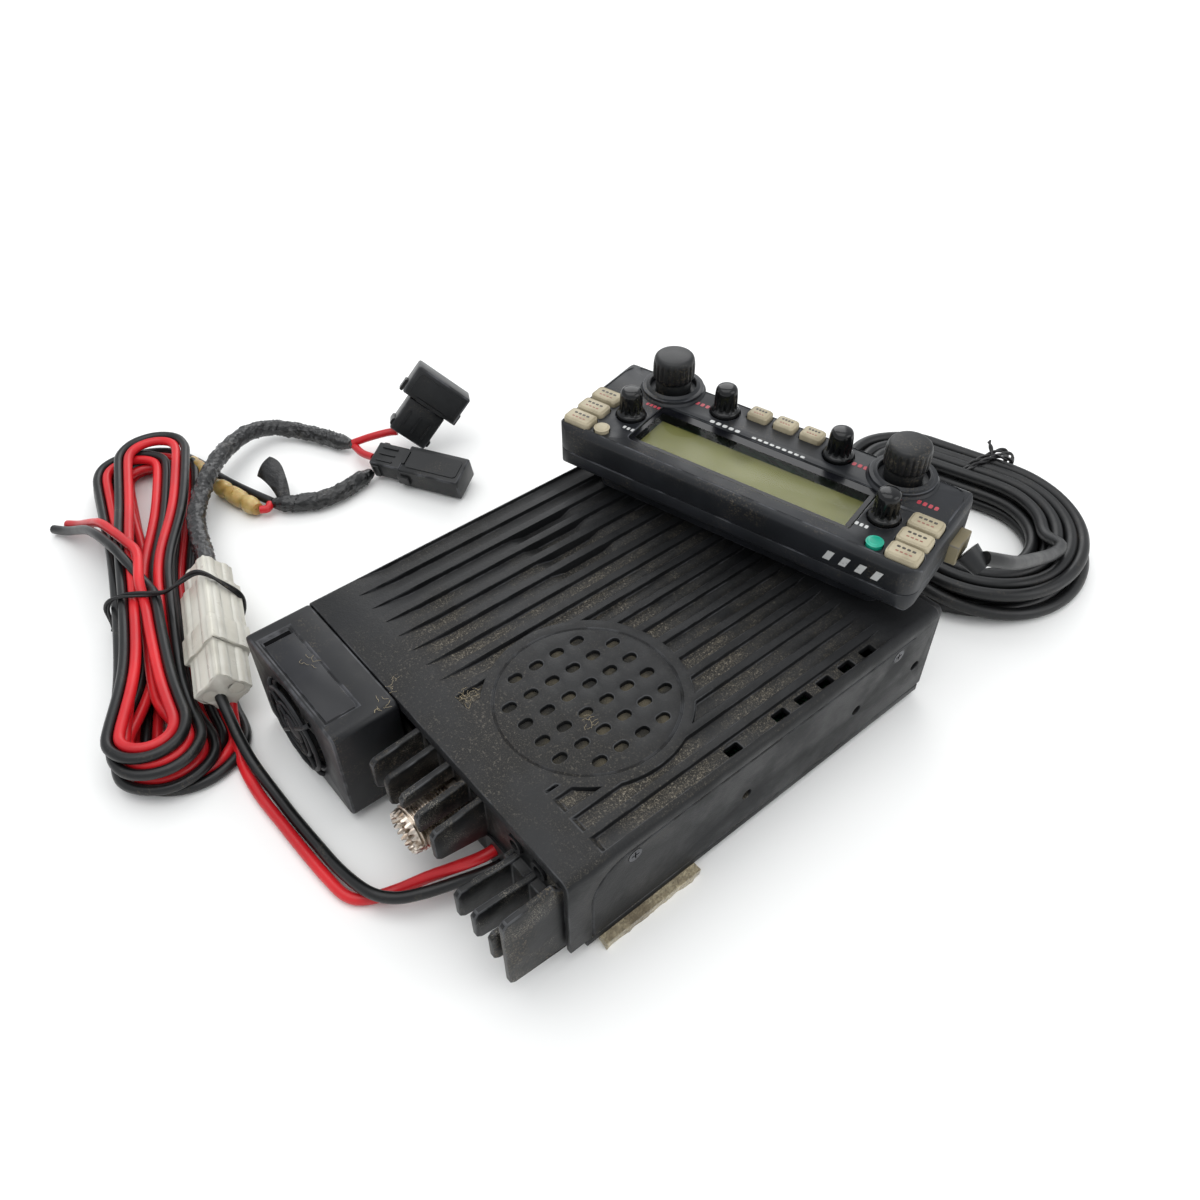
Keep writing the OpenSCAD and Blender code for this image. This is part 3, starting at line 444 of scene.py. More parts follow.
def place_piece(obj, body="root", stands_for=()):
    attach(obj, body)
    if stands_for:
        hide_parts(*stands_for)
    return obj


def slot_of_node(node):
    return next(s["material_slot"] for s in frame["record"]["subparts"] if s["node"] == node)


def look_of_node(node):
    return LOOKS[slot_of_node(node)]


def stand_for(obj, node):
    """The piece stands for the node and moves with its body."""
    return place_piece(obj, frame["nodes"][node]["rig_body"], [node])


def cad_copy(node, joined=True):
    """The node's mesh, welded, with its flat faces joined again."""
    bm = bmesh.new()
    bm.from_mesh(frame["nodes"][node].data)
    bmesh.ops.remove_doubles(bm, verts=bm.verts, dist=2e-6)
    if joined:
        bmesh.ops.dissolve_limit(bm, angle_limit=radians(0.7), verts=bm.verts, edges=bm.edges,
                                 delimit=set())
    return bm


def soften(bm, width):
    """Rounds the sharp edges and marks the rounded faces in the layer named worn."""
    edges = [e for e in bm.edges
             if len(e.link_faces) == 2 and e.calc_face_angle(0) > radians(28)]
    worn = bm.faces.layers.float.new("worn")
    made = bmesh.ops.bevel(bm, geom=edges, offset=width * MM, offset_type="OFFSET", segments=2,
                           profile=0.5, affect="EDGES", clamp_overlap=False)
    for face in made["faces"]:
        face[worn] = 1.0
    return bm


def refined(node, width=0.3, joined=True, look=None, extra=(), detail=None):
    """A copy of a CAD node with rounded edges and any added detail stands for it."""
    bm = soften(cad_copy(node, joined), width)
    if detail:
        detail(bm)
    stand_for(add_mesh(node + "_skin", bm, look or look_of_node(node), extra), node)


def stand_in(node, bm, smooth=32):
    """A modelled piece stands for a CAD node."""
    stand_for(add_mesh(node + "_model", bm, look_of_node(node), smooth=smooth), node)


def add_extra(name, bm, slot, look=None, smooth=32):
    """A modelled piece of the root body that stands for no CAD node."""
    return place_piece(add_mesh(name, bm, look or LOOKS[slot], smooth=smooth))


def dress(node):
    """Gives a CAD node the finish of its slot."""
    data = frame["nodes"][node].data
    data.materials.clear()
    data.materials.append(look_of_node(node).mat)


def skin(bm, rings, material=0):
    """Closed surface over rings of vertices; gives back its faces."""
    faces = [bm.faces.new(list(reversed(rings[0]))), bm.faces.new(rings[-1])]
    for low, high in zip(rings, rings[1:]):
        faces += [bm.faces.new((low[k - 1], low[k], high[k], high[k - 1])) for k in range(len(low))]
    for face in faces:
        face.material_index = material
    return faces


def lathe(profile, sides, change=None, matrix=Matrix(), bm=None):
    """Turned form about Z: profile is [radius, height] in mm, change(angle, height) alters the radius."""
    bm = bm or bmesh.new()
    rings = []
    for radius, height in profile:
        rings.append([])
        for k in range(sides):
            a = tau * k / sides
            r = radius + (change(a, height) if change else 0)
            rings[-1].append(bm.verts.new(matrix @ mm(r * cos(a), r * sin(a), height)))
    skin(bm, rings)
    return bm


def slab(bm, outline, z0, z1, matrix=Matrix(), material=0):
    """Upright prism of an outline of [x, y] points in millimetres."""
    skin(bm, [[bm.verts.new(matrix @ mm(x, y, z)) for x, y in outline] for z in (z0, z1)], material)


def sheet(bm, rows, flip):
    """Quads between rows of points in metres, facing the other way with flip."""
    grid = [[bm.verts.new(p) for p in row] for row in rows]
    for a, b in zip(grid, grid[1:]):
        for j in range(len(a) - 1):
            quad = (a[j], a[j + 1], b[j + 1], b[j])
            bm.faces.new(tuple(reversed(quad)) if flip else quad)


def rounded(w, h, r, x=0.0, y=0.0, steps=5):
    """Outline of a rectangle with round corners."""
    points = []
    for sx, sy, start in ((1, 1, 0), (-1, 1, 90), (-1, -1, 180), (1, -1, 270)):
        for i in range(steps + 1):
            a = radians(start + 90 * i / steps)
            points.append((x + sx * (w / 2 - r) + r * cos(a), y + sy * (h / 2 - r) + r * sin(a)))
    return points


def smooth_step(value):
    value = min(1.0, max(0.0, value))
    return value * value * (3 - 2 * value)


# -------- cords
def dense(points, step=1.6):
    """Smooth line through points, in metres, with a point about every step millimetres."""
    line = [2 * points[0] - points[1], *points, 2 * points[-1] - points[-2]]
    out = []
    for a, b, c, d in zip(line, line[1:], line[2:], line[3:]):
        count = max(2, round((c - b).length / (step * MM)))
        for i in range(count):
            t = i / count
            out.append(0.5 * (2 * b + (c - a) * t + (2 * a - 5 * b + 4 * c - d) * t * t
                              + (3 * b - a - 3 * c + d) * t * t * t))
    return [*out, points[-1]]


def eased(points, rounds):
    """Evens out a dense line without moving its ends."""
    for _ in range(rounds):
        points = [points[0], *[(a + 2 * b + c) / 4 for a, b, c in zip(points, points[1:], points[2:])],
                  points[-1]]
    return points


def length_of(points):
    return sum((b - a).length for a, b in zip(points, points[1:]))


def add_cord(name, points, diameter, look):
    """Round cord along a dense line."""
    data = bpy.data.curves.new(name, "CURVE")
    data.dimensions = "3D"
    data.bevel_depth = diameter * MM / 2
    data.bevel_resolution = 4
    data.use_fill_caps = True
    spline = data.splines.new("POLY")
    spline.points.add(len(points) - 1)
    for point, place in zip(spline.points, points):
        point.co = (*place, 1)
    spline.use_smooth = True
    data.materials.append(look.mat)
    obj = bpy.data.objects.new(name, data)
    link(obj)
    return obj


def frames_along(points):
    """Two side directions, carried along, at every point."""
    tangents = [(points[min(i + 1, len(points) - 1)] - points[max(i - 1, 0)]).normalized()
                for i in range(len(points))]
    side = tangents[0].cross(Vector((0, 0, 1))).normalized()
    out = []
    for t in tangents:
        side = (side - t * side.dot(t)).normalized()
        out.append((side, t.cross(side)))
    return out


def tube(bm, points, radius_at, sides=14):
    """Closed tube along a dense line; radius_at(distance, angle), or one number, is in millimetres."""
    rings, gone, last = [], 0.0, points[0]
    for place, (side, up) in zip(points, frames_along(points)):
        gone += (place - last).length / MM
        last = place
        rings.append([])
        for k in range(sides):
            a = tau * k / sides
            radius = radius_at(gone, a) if callable(radius_at) else radius_at
            rings[-1].append(bm.verts.new(place + (side * cos(a) + up * sin(a)) * radius * MM))
    bmesh.ops.recalc_face_normals(bm, faces=skin(bm, rings))


def route(points):
    return [mm(*p) for p in points]


BLACK_ROUTE = route([
    (-37, 76, 12.6), (-36.97, 79, 12.6), (-36.4, 82.2, 12.55), (-34.8, 86.3, 11.7), (-32, 91.2, 9.8),
    (-27.6, 101.2, 8.4), (-22.5, 108.6, 7), (-15.3, 113.4, 6.4), (-2.3, 115.8, 4.2), (11.7, 116.6, 2.6),
    (26, 117.3, 2.2), (39, 117.6, 2.4), (51.3, 118, 4.8), (60.4, 117.6, 8.6), (68.7, 116.5, 12.6),
    (77.4, 115.2, 15.6), (86, 113.2, 17)
])
RED_ROUTE = route([
    (-33.6, 76, 16.3), (-33.58, 79, 16.3), (-33.1, 82.2, 15.9), (-31.6, 85.8, 14.8),
    (-27.9, 90.8, 11.4), (-23.4, 97.6, 7.6), (-19.1, 105.2, 3.6), (-14.9, 114.1, 2.2),
    (-9.8, 118.5, 2.2), (0, 120, 2.2), (12, 120.8, 2.2), (26, 121.4, 2.2), (41, 121.9, 2.2),
    (54.5, 120.7, 2.2), (66, 117.3, 3.8), (74, 113.8, 8.6), (79, 110.7, 13.4), (84.2, 108, 17)
])
LEAD_A_ROUTE = route([
    (135.5, 92.3, 17), (145, 89, 16.6), (156, 86.4, 15), (168, 83, 14), (177, 78.5, 14),
    (187.5, 71.5, 14), (196.5, 64.5, 14), (205, 56.5, 13), (213, 47, 11.5), (219, 36, 9.5),
    (220, 25, 7), (213, 16, 5), (202, 9, 4.4), (193, 4.8, 4.6), (187, 2, 5.2)
])
LEAD_B_ROUTE = route([
    (163.5, 5.5, 4.4), (162, 14, 4.4), (160.6, 23, 4.4), (161.5, 33, 4.4), (166.5, 42, 4.4),
    (172.5, 49, 4.4)
])
# the two thin wires at the fuse holders and the one at the splice
SHORT_ROUTES = (route([(186, 1.4, 6), (181, -5, 9), (176.5, -12, 10.8), (173.8, -15.4, 11.2)]),
                route([(184.5, 1.6, 5), (176.5, 2.2, 6), (168.2, 1, 7.8)]),
                route([(172.8, 50, 4.4), (170.6, 52.4, 4.4), (172, 55.2, 4.4)]))
# the supply wires' two ends outside the hank: from the splices, and the bare ones
RED_START = route([(224, 63.9, 4.4), (228, 64.6, 4.0)])
BLACK_START = route([(173, 48.6, 4.4), (183, 51.5, 3.6), (196, 55, 2.6), (210, 58.2, 2.2), (222, 60, 2.2)])
BARE_BLACK = route([
    (144.6, 112.9, 16.6), (163, 115, 21), (171, 115.8, 20.4), (182, 117, 18.6), (194, 118.5, 14),
    (204, 121, 8.5), (212, 123.8, 4.4), (219, 127, 2.4)
])
BARE_RED = route([
    (143.2, 115.1, 20.4), (158, 109.5, 21), (167, 110, 20.4), (178, 111.4, 19.2), (190, 113, 17),
    (201, 115, 11), (211, 118.2, 5.2), (218, 121.4, 2.6)
])
CABLE_ROUTE = route([
    (-71, -95.6, 57.4), (-73.5, -103, 53.5), (-74, -113, 47), (-73, -125, 40), (-71.5, -138, 32.5),
    (-70, -150, 25.5), (-68.5, -160, 20.5), (-67, -168, 18.3)
])
JACK_ROUTE = route([
    (33, -155, 8.2), (28, -145, 8.4), (17.5, -133, 8.5), (18.5, -122, 9.5), (20, -112, 11.5),
    (22, -103, 13.5), (24, -96, 15)
])

# the hank's turns, in its own frame: each end is (centre x, centre y, radius, height), and each waist
# is (y, height) of the run on its +Y side and of the run on its -Y side
HANK_TURNS = [
    ((77, -0.5, 19.2, 2.2), (-77, 0, 19.2, 2.2), (15.5, 2.2), (-15, 2.2)),
    ((77, -0.5, 11.6, 2.2), (-77, 0, 11.6, 2.2), (7.9, 2.2), (-7.4, 2.2)),
    ((73, 0.5, 19.2, 6), (-82, 5.5, 15, 6), (14.6, 6), (-1.8, 6)),
    ((73, 0.5, 11.6, 6), (-76, 8, 11.5, 10.4), (6.7, 6), (4.4, 10.6)),
    ((74, 5.5, 13, 9.8), (-83, 6.5, 13, 13.6), (14, 12.4), (-1.8, 13.2)),
    ((80, -4.5, 12.5, 13.6), (-80, 8.5, 11.5, 17.2), (10.6, 16.4), (2.2, 17)),
]


def end_points(end, start, step=25):
    """Points round one end of a hank's turn, from the start angle on, in degrees."""
    x, y, radius, height = end
    angles = [radians(a) for a in range(start, 90 if start < 90 else 270, step)]
    return [(x + radius * cos(a), y + radius * sin(a), height) for a in angles]


def run_points(waist, stops, far, near, side):
    """Points of a run between two ends; each stop is (x, how far the run has drawn in to the waist)."""
    points = []
    for x, share in stops:
        end = far if x > -19 else near
        lift = share ** 3
        points.append((x, share * waist[0] + (1 - share) * (end[1] + side * end[2]),
                       lift * waist[1] + (1 - lift) * end[3]))
    return points


def hank_line():
    """Centre line of the pair of wires through every turn of the hank, in the row frame."""
    points = [(86, -21, 2.6)]
    for i, (far, near, outer, inner) in enumerate(HANK_TURNS):
        points += end_points(far, -75 if i else -60)
        points += run_points(outer, ((48, 0.45), (18, 0.92), (-19, 1.0), (-52, 0.8)), far, near, 1)
        points += end_points(near, 105)
        if i < len(HANK_TURNS) - 1:
            stops = ((-62, 0.95), (-19, 1.0), (8, 0.9), (42, 0.35))
            points += run_points(inner, stops, HANK_TURNS[i + 1][0], near, -1)
    points += [(-60, 0.5, 17.0), (-35, 2.0, 17.2), (-19, 2.6, 17.4), (-6, 4.4, 17.6)]
    return [HANK @ mm(*p) for p in points]


def beside(points, distance):
    """The line that runs beside a dense line, on the level."""
    out = []
    for i, place in enumerate(points):
        t = points[min(i + 2, len(points) - 1)] - points[max(i - 2, 0)]
        out.append(place + Vector((t.y, -t.x, 0)).normalized() * distance * MM)
    return out


def add_run(name, line, diameter, slot, stands_for=()):
    """A cord along a dense line, in its slot; gives back the cord and the line."""
    obj = place_piece(add_cord(name, line, diameter, LOOKS[slot]), stands_for=stands_for)
    return obj, line


def add_power_wires():
    """The red and the black wire, side by side through the hank."""
    middle = eased(dense(hank_line()), 6)
    lines = {}
    for colour, start, offset, end in (("red", RED_START, -HALF_PAIR, BARE_RED),
                                       ("black", BLACK_START, HALF_PAIR, BARE_BLACK)):
        name = "supply_wire_" + colour
        line = eased(dense([*start, *beside(middle, offset)[6:-4:5], *end]), 3)
        lines[name] = add_run(name, line, WIRE_D, "wire_" + colour)[1]
    return lines


# the coil's two round ends and the straight sides between them, in millimetres
COIL_BIG, COIL_BIG_R = Vector((-33, -160)), 48.0
COIL_SMALL, COIL_SMALL_R = Vector((4, -166)), 31.0
# (distance in from the outside, height) of each turn, from the head's end to the main unit's
COIL_TURNS = [
    (20, 13), (15.2, 12.8), (10.2, 12.6), (4.8, 12.5), (2.6, 3), (7.8, 2.9), (13, 2.9), (18.2, 2.9),
    (22.8, 3.1), (23, 8), (18.1, 7.9), (13.2, 7.8), (8.3, 7.8)
]
# share of a turn that each half of the big end takes, and each straight side and the small end
COIL_HALF_END, COIL_SIDE = 0.29, 0.14
# a turn starts to move over to the next one's place after this share of it
MOVE_OVER = 0.72
# points on a turn; the last turn is only half there
PER_TURN = 20
COIL_START, COIL_END = 2, len(COIL_TURNS) * PER_TURN - 10


def coil_point(share, inset, height):
    """Point of a turn of the coil, after this share of it, counted from the big end's far side."""
    axis = COIL_SMALL - COIL_BIG
    turn = atan2(axis.y, axis.x)
    opening = acos((COIL_BIG_R - COIL_SMALL_R) / axis.length)
    big, small = COIL_BIG_R - inset, COIL_SMALL_R - inset
    left, low, high = pi + turn, turn - opening + tau, turn + opening

    def on(centre, radius, angle):
        return centre + radius * Vector((cos(angle), sin(angle)))

    share %= 1.0
    part = (share - COIL_HALF_END) / COIL_SIDE
    if part < 0:
        spot = on(COIL_BIG, big, left + (low - left) * share / COIL_HALF_END)
    elif part < 1:
        spot = on(COIL_BIG, big, low).lerp(on(COIL_SMALL, small, low), part)
    elif part < 2:
        spot = on(COIL_SMALL, small, low - tau + (high - low + tau) * (part - 1))
    elif part < 3:
        spot = on(COIL_SMALL, small, high).lerp(on(COIL_BIG, big, high), part - 2)
    else:
        spot = on(COIL_BIG, big, high + (left - high) * (part - 3) * COIL_SIDE / COIL_HALF_END)
    return mm(spot.x, spot.y, height)


def cable_line():
    """The control cable from the head's plug, round the coil's twelve and a half turns, to the socket."""
    points = list(CABLE_ROUTE)
    for i in range(COIL_START, COIL_END):
        turn, share = i // PER_TURN, (i % PER_TURN) / PER_TURN
        here, there = COIL_TURNS[turn], COIL_TURNS[min(turn + 1, len(COIL_TURNS) - 1)]
        mix = smooth_step((share - MOVE_OVER) / (1 - MOVE_OVER))
        wander = 0.45 * sin(0.37 * i + 1.1 * turn)
        lift = 0.2 * sin(0.23 * i + turn)
        points.append(coil_point(i / PER_TURN, here[0] + (there[0] - here[0]) * mix + wander,
                                 here[1] + (there[1] - here[1]) * mix + lift))
    return eased(dense(points + JACK_ROUTE, 2.0), 5)


def taped(name, points, node):
    """Lead wrapped in tape: overlapping turns of tape, with creases and folds."""
    line = eased(dense(points, 0.6), 4)
    total = length_of(line) / MM

    def radius(s, a):
        wrap = (s / 8.5 + a / tau) % 1.0
        crease = noise.noise(Vector((s * 0.35, 3 * cos(a), 3 * sin(a))))
        lump = noise.noise(Vector((s * 0.08, 1.2 * cos(a), 1.2 * sin(a) + 7)))
        fold = 1 - abs(2.2 * noise.noise(Vector((s * 0.24 + 2 * cos(a), 2 * sin(a), 3.1))))
        end = min(1.0, 0.55 + 0.09 * min(s, total - s))
        return (3.2 + 0.45 * wrap + 0.25 * crease + 0.35 * lump + 0.5 * max(0.0, fold) ** 4) * end

    bm = bmesh.new()
    tube(bm, line, radius, 36)
    obj = add_mesh(name, bm, LOOKS["tape_black"], smooth=38)
    return place_piece(obj, stands_for=[node]), line


def add_short_wires():
    bm = bmesh.new()
    for points in SHORT_ROUTES:
        tube(bm, dense(points, 1.0), SHORT_D / 2)
    return add_extra("short_wires", bm, "wire_red")


# -------- detailed pieces
def on_face(x, y, z=FACE_Z):
    return HEAD @ shift(x, y, z)


def add_dial(node, x):
    """Tuning dial: smooth domed cap, fine ribs round the middle and a smooth foot."""
    profile = [
        (5.8, -1.3), (6.5, -1.3), (6.6, 0.2), (6.6, 2.6), (6.5, 2.9), (6.6, 3.3), (7.2, 3.7),
        (7.55, 4.2), (7.68, 5), (7.7, 6.5), (7.7, 8), (7.65, 9.4), (7.55, 10.4), (7.4, 11.2),
        (7.1, 12), (6.6, 12.5), (5.6, 12.75), (3.6, 12.9), (1.6, 12.98), (0.4, 13)
    ]

    def ribs(angle, height):
        share = smooth_step((height - 3.2) / 0.6) * smooth_step((10.9 - height) / 0.8)
        return -0.42 * share * (0.5 - 0.5 * cos(22 * angle)) ** 2

    stand_in(node, lathe(profile, 176, ribs, on_face(x, DIAL_Y, POD_Z)), smooth=40)


def add_knob(node, x, y):
    """Small knob: glossy, with scooped flutes that run out below its cap, and a flat collar."""
    profile = [
        (4.6, -1.1), (5.1, -1.1), (5.3, -0.8), (5.3, 0.8), (5.15, 1.25), (4.8, 1.5), (4.45, 1.75),
        (4.25, 2.1), (4.2, 2.8), (4.2, 3.8), (4.2, 4.8), (4.18, 5.8), (4.15, 6.8), (4.1, 7.8),
        (4, 8.8), (3.85, 9.6), (3.5, 10.3), (2.9, 10.7), (1.8, 10.9), (0.4, 11)
    ]

    def flutes(angle, height):
        share = smooth_step((8.0 - height) / 4.5) * smooth_step((height - 1.9) / 0.5)
        return -0.85 * share * (0.5 - 0.5 * cos(11 * angle)) ** 3

    stand_in(node, lathe(profile, 132, flutes, on_face(x, y)), smooth=38)


def strokes(bm, count, x, step, y, w, h, z, material):
    """Row of thin printed strokes on the head, the first centred at x."""
    for k in range(count):
        slab(bm, rounded(w, h, min(w, h) * 0.3, x + k * step, y, 2), z, z + 0.05, HEAD, material)


def key_marks(x, y, top, w):
    """A dark line and a fainter red one, in short strokes, in place of a key's legend."""
    def mark(bm):
        strokes(bm, 4, x - w * 0.255, w * 0.17, y - 0.9, w * 0.12, 0.95, top, 1)
        strokes(bm, 4, x - w * 0.225, w * 0.15, y + 1.25, w * 0.1, 0.6, top, 2)
    return mark


def head_marks(bm):
    """Printed marks round the controls, and four slanted strokes, a plain mark, on the long side."""
    for count, x, step, y, w, h, material in (
            (3, -33.6, 2.1, -14.6, 1.4, 1.9, 1), (3, 29.4, 2.1, -14.6, 1.4, 1.9, 1),
            (3, -47.1, 1.7, 13.2, 1.1, 1.6, 2), (3, 43.7, 1.7, 13.2, 1.1, 1.6, 2),
            (4, -61.8, 2, -8.2, 1.3, 2, 1), (4, 43.6, 1.6, -3.6, 1.1, 1.5, 1),
            (9, -13.2, 2.4, -7.7, 1.6, 1.1, 2), (5, 12.8, 2.6, -7.8, 1.8, 1.6, 2)):
        strokes(bm, count, x, step, y, w, h, FACE_Z, material)
    wall = HEAD @ shift(0, HEAD_SIDE_Y, 0) @ spin(-90, "X")
    for k in range(4):
        x = -59.5 + k * 5.6
        slab(bm, [(x, -65), (x + 2.4, -65), (x + 3.9, -61.2), (x + 1.5, -61.2)], -0.02, 0.05, wall, 2)


def window_bands(bm):
    """Dark bands printed round the display, on the window."""
    for w, h, x, y in ((85, 3.5, 0, -4.2), (85, 1.5, 0, 16.9), (1.6, 18.4, -41.7, 6.8),
                       (1.6, 18.4, 41.7, 6.8)):
        slab(bm, rounded(w, h, 0.3, x, y, 2), -0.44, -0.36, on_face(0, 0), 1)


def add_pods():
    """Cone that each dial stands in."""
    bm = bmesh.new()
    profile = [
        (12.3, -0.4), (12.3, 0.1), (12, 0.5), (10.6, 1.5), (9.5, 2.5), (9, 2.75), (8.7, 2.6),
        (8.65, 1.9)
    ]
    for x in (-DIAL_X, DIAL_X):
        lathe(profile, 72, None, on_face(x, DIAL_Y), bm)
    bmesh.ops.delete(bm, geom=[f for f in bm.faces if len(f.verts) > 4], context="FACES")
    add_extra("dial_pods", bm, "head_charcoal")


def add_pads():
    """Felt pads with uneven, frayed edges."""
    bm = cad_copy("grip_pads")
    long_edges = [e for e in bm.edges if e.calc_length() > 8 * MM]
    bmesh.ops.subdivide_edges(bm, edges=long_edges, cuts=30, use_grid_fill=True)
    bmesh.ops.triangulate(bm, faces=[f for f in bm.faces if len(f.verts) > 4])
    for vert in bm.verts:
        place = vert.co / MM
        wave = noise.noise(place * 0.16) + 0.5 * noise.noise(place * 0.7)
        if vert.co.z < 2 * MM and abs(vert.normal.z) < 0.95:
            vert.co += Vector((vert.normal.x, vert.normal.y, 0)) * (1.1 * wave - 0.2) * MM
    stand_in("grip_pads", bm, smooth=60)


def fan_point(radius, angle, y):
    return mm(FAN_X + radius * cos(angle), y, FAN_Z + radius * sin(angle))


def add_fan():
    """Guard of round rings and spokes, and a rotor with curved blades."""
    bm = bmesh.new()
    for radius, thick in ((4.9, 0.75), (9.9, 0.7), (15.3, 0.8)):
        ring = [fan_point(radius, tau * k / 48, GUARD_Y) for k in range(49)]
        tube(bm, ring, lambda s, a, t=thick: t * (1 + 0.1 * sin(s * 0.9)), 10)
    for angle in (45, 135, 225, 315):
        stops = ((4.2, 104.2), (7, 104.25), (11, 104.2), (15.5, 104.1), (17.2, 103.6), (17.9, 102.8))
        spoke = [fan_point(r, radians(angle), y) for r, y in stops]
        tube(bm, dense(spoke, 1.2), 0.85, 10)
    bmesh.ops.create_uvsphere(bm, u_segments=20, v_segments=10, radius=4.4 * MM,
                              matrix=shift(FAN_X, GUARD_Y, FAN_Z)
                              @ Matrix.Diagonal((1, 0.22, 1, 1)))
    stand_in("fan_guard", bm)
    bm = lathe([(0.9, 89.7), (1.0, 92.0), (6.2, 92.0), (6.5, 92.5), (6.6, 96), (6.6, 98.4), (6.2, 99.0),
                (5.4, 99.3)], 48, None, lying(FAN_X, FAN_Z))
    for k in range(7):
        for side in (-0.5, 0.5):
            rows = []
            for i in range(7):
                r = 6.2 + 8.4 * i / 6
                row = []
                for j in range(7):
                    t = j / 6 - 0.5
                    angle = tau * k / 7 + 0.05 * i + (0.62 + 0.2 * t) * t * 7.0 / r
                    row.append(fan_point(r, angle, 95.7 - 5.4 * t + side))
                rows.append(row)
            sheet(bm, rows, side < 0)
    stand_in("fan_rotor", bm)


def lying(x, z):
    """Matrix that lays a turned form's axis along Y, through x and z."""
    return shift(x, 0, z) @ spin(-90, "X")


def add_antenna_socket():
    """Threaded barrel with a toothed end, open down to its insulator."""
    profile = [(5.9, 74.2), (5.9, 78.1), (7.9, 78.3), (7.9, 81.6)]
    for k in range(13):
        y = 82 + k * 1.06
        profile += [(7.25, y), (7.9, y + 0.42), (7.9, y + 0.6), (7.25, y + 1)]
    profile += [
        (7.3, 96), (7.5, 96.3), (7.1, 97.1), (6.1, 97.3), (5.65, 96.6), (5.6, 84.2), (4.5, 84),
        (4.5, 83.5)
    ]
    bm = lathe(profile, 160, lambda a, y: 0.05 * sin(9 * a + y), lying(SOCKET_X, SOCKET_Z))
    for vert in bm.verts:
        place = vert.co / MM
        if place.y > 97.0:
            angle = atan2(place.z - SOCKET_Z, place.x - SOCKET_X)
            vert.co.y += 1.3 * MM * smooth_step(0.5 + 2.2 * sin(20 * angle))
    stand_in("antenna_shell", bm, smooth=30)


def twisted(bm, points, radius, pitch):
    """Two thin strands twisted together along a path, in metres."""
    line = dense(points, 0.9)
    gone = [0.0]
    for a, b in zip(line, line[1:]):
        gone.append(gone[-1] + (b - a).length / MM)
    for phase in (0.0, pi):
        strand = []
        for place, s, (side, up) in zip(line, gone, frames_along(line)):
            a = tau * s / pitch + phase
            strand.append(place + (side * cos(a) + up * sin(a)) * radius * 0.92 * MM)
        tube(bm, strand, radius, 8)


def add_ties():
    """Twisted ties round the waist of the hank and over the strands of the coil."""
    bm = bmesh.new()
    lean = radians(70)
    path = [
        (-24.5, 1.3), (0, 1.25), (20.2, 1.3), (21.3, 3), (21, 8), (20.4, 13), (17.6, 17.2),
        (12.5, 19.4), (8, 20), (2, 20.2), (-4, 21.2), (-10, 25.4), (-16.8, 30.1), (-21, 29.6),
        (-26.2, 24.6), (-30.6, 18.8), (-30.6, 13), (-28, 6), (-25.2, 1.6)
    ]
    twisted(bm, [HANK @ mm(-19 + u * cos(lean), u * sin(lean), z) for u, z in path], 0.62, 46)
    stand_in("hank_tie", bm)
    bm = bmesh.new()
    tie = at((-13.5, -196.4, 0), -10)
    path = [
        (14.3, 1.35), (0, 1.35), (-14.3, 1.35), (-15, 6), (-14.2, 12.5), (-9, 15.6), (0, 16.2),
        (9, 15.6), (14.4, 12.5), (15, 6), (14.5, 1.4)
    ]
    for x, tilt in ((-1.1, 0.5), (1.2, -0.4)):
        twisted(bm, [tie @ mm(x + tilt * y / 14, y, z) for y, z in path], 0.55, 12)
    for dx, rise in ((-9.5, 3.0), (7.5, 5.0)):
        tail = [(0.0, -3.0, 16.0), (dx * 0.25, -4.0, 16.6), (dx * 0.6, -5.4, 16.2 + rise * 0.3),
                (dx * 0.85, -6.4, 15.8 + rise * 0.5)]
        twisted(bm, [tie @ mm(*t) for t in tail], 0.5, 9)
    stand_in("coil_tie", bm)


def add_splices():
    """Clear amber sleeves, pinched where they were crimped, on their splices."""
    bm = bmesh.new()
    for place, turn, r, length in (((173, 55.8, 4.4), 13, 3.8, 28), ((207, 61.8, 4.4), 7, 3.6, 18)):
        points = [at(place, turn) @ mm(length * i / 40, 0, 0) for i in range(41)]

        def radius(s, a, r=r, length=length):
            ends = smooth_step(s / 4) * smooth_step((length - s) / 4)
            pinch = sum(exp(-((s - length * t) / 1.3) ** 2) for t in (0.3, 0.7))
            flat = 0.16 * pinch * (0.5 + 0.5 * cos(2 * a))
            wave = noise.noise(Vector((s * 0.3, 2 * cos(a), 2 * sin(a)))) * 0.18
            return r * (0.72 + 0.28 * ends) * (1 - 0.1 * pinch - flat) + wave * ends

        tube(bm, points, radius, 24)
    stand_in("splice_sleeves", bm, smooth=50)


def both_sides(matrix):
    """The matrix, and the one that is mirrored in its XY plane."""
    return [matrix @ Matrix.Scale(s, 4, Vector((0, 0, 1))) for s in (-1, 1)]


def cap_detail(bm):
    """Raised panels, ribs and latches moulded on the fuse holders' caps."""
    for matrix, l, w, t in ((FUSE_A, 14, 26.8, 13.4), (FUSE_B, 28.6, 14.5, 11)):
        for base in both_sides(matrix):
            slab(bm, rounded(l - 4, w - 5, 1.6, 2.2 + l / 2, 0), t / 2 - 0.3, t / 2 + 0.45, base)
            slab(bm, rounded(1.6, w * 0.5, 0.4, 3.2, 0), t / 2 - 0.2, t / 2 + 1.0, base)
        for s in (-1, 1):
            slab(bm, rounded(5.5, 1.5, 0.5, 4.2, s * (w / 2 + 0.5)), -2.2, 2.2, matrix)


